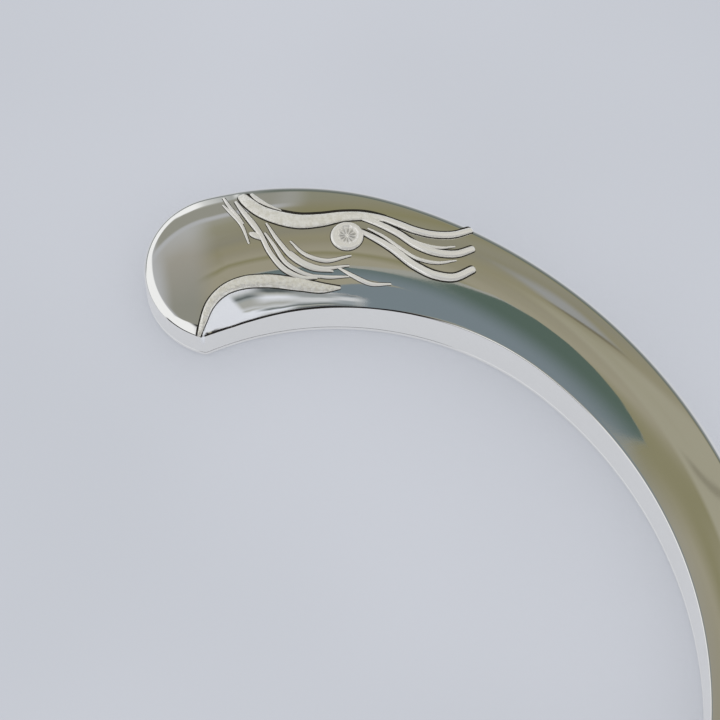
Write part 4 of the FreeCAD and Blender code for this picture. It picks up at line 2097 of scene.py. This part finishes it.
@dataclass(frozen=True)
class ShadeCard:
    """A blue-grey card with a pale far edge, over the rattle, that only the silver mirrors."""

    height: float = 115.0
    near_side: tuple[PlanPoint, ...] = (
        (-33.0, -30.0),
        (-4.0, -30.0),
        (-12.0, 20.0),
        (-17.5, 44.6),
        (-10.0, 49.0),
        (0.0, 54.8),
        (8.0, 59.4),
        (11.0, 62.5),
        (14.6, 70.0),
        (15.0, 76.0),
        (13.5, 81.0),
        (9.5, 84.0),
    )
    far_side: tuple[PlanPoint, ...] = (
        (4.0, 83.5),
        (-2.0, 79.0),
        (-6.0, 74.5),
        (-9.0, 69.0),
        (-12.8, 61.0),
        (-33.0, 50.0),
    )
    blue: Colour = (0.178, 0.220, 0.246)
    green: Colour = (0.088, 0.128, 0.108)
    green_span: Span = (0.036, 0.070)
    green_slant: float = 0.35
    border: Colour = (0.330, 0.335, 0.305)
    border_width: float = 1.7
    border_lift: float = 0.5

    def build(self) -> None:
        """Build the card and its pale border."""
        corners = np.array(self.near_side + self.far_side)
        self._add("shade_card", corners, self.height, self._material("shade_card", True))
        border = self._material("card_border", False)
        self._add("card_border", self._grown(corners), self.height + self.border_lift, border)

    def _grown(self, corners: np.ndarray) -> np.ndarray:
        """Move the far side of the card's outline out by the border's width.

        Args:
            corners: the card's outline.

        Returns:
            The border's outline.
        """
        along = np.roll(corners, -1, axis=0) - np.roll(corners, 1, axis=0)
        outward = np.stack([along[:, 1], -along[:, 0]], axis=1)
        outward /= np.linalg.norm(outward, axis=1, keepdims=True)
        outward[: len(self.near_side)] = 0.0
        return corners + outward * self.border_width

    def _material(self, name: str, is_card: bool) -> bpy.types.Material:
        """Build the material of the card or of its border.

        Args:
            name: the material's name.
            is_card: whether it is the card's, which turns from blue-grey to green across it.

        Returns:
            The material.
        """
        material = bpy.data.materials.new(name)
        material.use_nodes = True
        bench = Bench(material.node_tree)
        colour: Source = (*self.border, 1.0)
        if is_card:
            parts = bench.add("ShaderNodeSeparateXYZ")
            bench.feed(parts, 0, bench.add("ShaderNodeTexCoord").outputs["Object"])
            ahead = bench.math("MULTIPLY_ADD", parts.outputs[0], self.green_slant, parts.outputs[1])
            greener = bench.rise(*self.green_span, ahead)
            colour = bench.mix(greener, (*self.blue, 1.0), (*self.green, 1.0))
        glow = bench.add("ShaderNodeEmission")
        bench.feed(glow, "Color", colour)
        out = bench.add("ShaderNodeOutputMaterial")
        bench.feed(out, "Surface", glow.outputs[0])
        return material

    @staticmethod
    def _add(name: str, corners: np.ndarray, height: float, material: bpy.types.Material) -> None:
        """Add one flat sheet that only the silver mirrors.

        Args:
            name: the sheet's name.
            corners: its outline in plan.
            height: how high it hangs.
            material: its material.
        """
        deselect_all()
        bpy.ops.mesh.primitive_circle_add(vertices=len(corners), radius=0.1, fill_type="NGON")
        sheet = bpy.context.object
        sheet.name = name
        place_vertices(sheet, with_height(corners, height))
        sheet.data.materials.append(material)
        sheet.visible_camera = False
        sheet.visible_diffuse = False
        sheet.visible_shadow = False
        sheet.visible_transmission = False


@dataclass(frozen=True)
class Studio:
    """The camera, the paper and the room."""

    aim: Colour = (-8.67, 31.97, 4.9)
    tilt: float = 27.0
    distance: float = 254.82
    lens: float = 137.0
    sensor: float = 36.0
    nearest: float = 0.005
    paper_radius: float = 420.0
    paper_sides: int = 96

    def build(self) -> None:
        """Build the camera, the paper and the room."""
        scene = bpy.context.scene
        tilt = math.radians(self.tilt)
        deselect_all()
        bpy.ops.object.camera_add(
            location=(
                self.aim[0] * MM,
                (self.aim[1] - self.distance * math.sin(tilt)) * MM,
                (self.aim[2] + self.distance * math.cos(tilt)) * MM,
            ),
            rotation=(tilt, 0.0, 0.0),
        )
        camera = bpy.context.object
        camera.name = "camera"
        camera.data.lens = self.lens
        camera.data.sensor_width = self.sensor
        camera.data.clip_start = self.nearest
        scene.camera = camera
        deselect_all()
        radius = self.paper_radius * MM
        bpy.ops.mesh.primitive_circle_add(vertices=self.paper_sides, radius=radius, fill_type="TRIFAN")
        paper = bpy.context.object
        paper.name = "paper"
        paper.data.materials.append(Paper().make())
        Room().build()
        ShadeCard().build()
        scene.view_settings.view_transform = "Standard"


# ---------------------------------------------------------------------------------------------------------
# The rattle
# ---------------------------------------------------------------------------------------------------------


@dataclass
class BabyRattle:
    """The whole rattle: the new skins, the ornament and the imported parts' metals."""

    plan: BarPlan = field(default_factory=BarPlan)
    forms: HeadForms = field(default_factory=HeadForms)
    polished: Metal = Metal(
        "polished_silver",
        (0.955, 0.950, 0.930),
        (0.935, 0.928, 0.905),
        satin_rise=0.26,
    )
    crest: Metal = Metal(
        "crest_silver",
        (0.93, 0.915, 0.875),
        (0.88, 0.865, 0.82),
        metallic=0.42,
        roughness=0.16,
        # Colour of the painted shade and patina.
        shade_and_patina=(0.035, 0.032, 0.024),
    )
    frosted: Metal = Metal(
        "frosted_silver",
        (0.94, 0.93, 0.885),
        (0.80, 0.78, 0.70),
        metallic=0.4,
        roughness=0.34,
        stipple=0.6,
        stipple_scale=5200.0,
        cloud_scale=1900.0,
        # Colour of the painted shade and patina.
        shade_and_patina=(0.03, 0.026, 0.018),
    )
    stippled: Metal = Metal(
        "stippled_silver",
        (0.94, 0.925, 0.87),
        (0.80, 0.775, 0.69),
        metallic=0.45,
        roughness=0.28,
        stipple=1.0,
        stipple_scale=4200.0,
        cloud_scale=2400.0,
        # Colour of the painted shade and patina.
        shade_and_patina=(0.03, 0.026, 0.018),
    )
    raw: Metal = Metal(
        "raw_silver",
        (0.80, 0.785, 0.75),
        (0.66, 0.64, 0.60),
        roughness=0.32,
        roughness_spread=0.2,
        scratch=0.3,
    )
    steel: Metal = Metal(
        "bead_steel",
        (0.62, 0.62, 0.61),
        (0.55, 0.55, 0.54),
        roughness=0.14,
        roughness_spread=0.1,
        scratch=0.1,
    )

    def build_skins(self) -> None:
        """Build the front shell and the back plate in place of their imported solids."""
        rows = SweptRows(self.plan)
        silver = self.polished.make()
        builders = ((FrontShell(rows, self.forms), "front_shell"), (BackPlate(rows), "back_plate"))
        for builder, node in builders:
            skin = builder.build()
            skin.data.materials.clear()
            skin.data.materials.append(silver)
            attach(skin, "shell")
            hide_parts(node)
            self._report(skin)

    def build_ornament(self) -> None:
        """Build both heads' ornament."""
        dress = {
            Grain.POLISHED: self.crest.make(),
            Grain.SATIN: self.frosted.make(),
            Grain.STIPPLED: self.stippled.make(),
        }
        for head in Head:
            for piece in HeadOrnament(self.plan, self.forms).build(head, dress):
                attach(piece, "shell")
                self._report(piece)

    def dress_packed_parts(self) -> None:
        """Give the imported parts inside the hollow, and the vent plugs, their metals."""
        raw = self.raw.make()
        steel = self.steel.make()
        plug = self.polished.make()
        for name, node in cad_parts.items():
            if name in ("front_shell", "back_plate"):
                continue
            metal = raw
            if name.startswith("bead_"):
                metal = steel
            elif name.endswith("plug"):
                metal = plug
            for number in range(len(node.material_slots)):
                node.material_slots[number].material = metal
            if not node.material_slots:
                node.data.materials.append(metal)
            LOG.info("%s: %s", name, metal.name)

    @staticmethod
    def _report(piece: bpy.types.Object) -> None:
        """Log a finished piece's name and number of triangles."""
        piece.data.calc_loop_triangles()
        LOG.info("%s: %d triangles", piece.name, len(piece.data.loop_triangles))


def main() -> None:
    """Build the rattle and the studio."""
    logging.basicConfig(level=logging.INFO, format="%(message)s")
    rattle = BabyRattle()
    rattle.build_skins()
    rattle.build_ornament()
    rattle.dress_packed_parts()
    Studio().build()


if __name__ == "__main__":
    main()
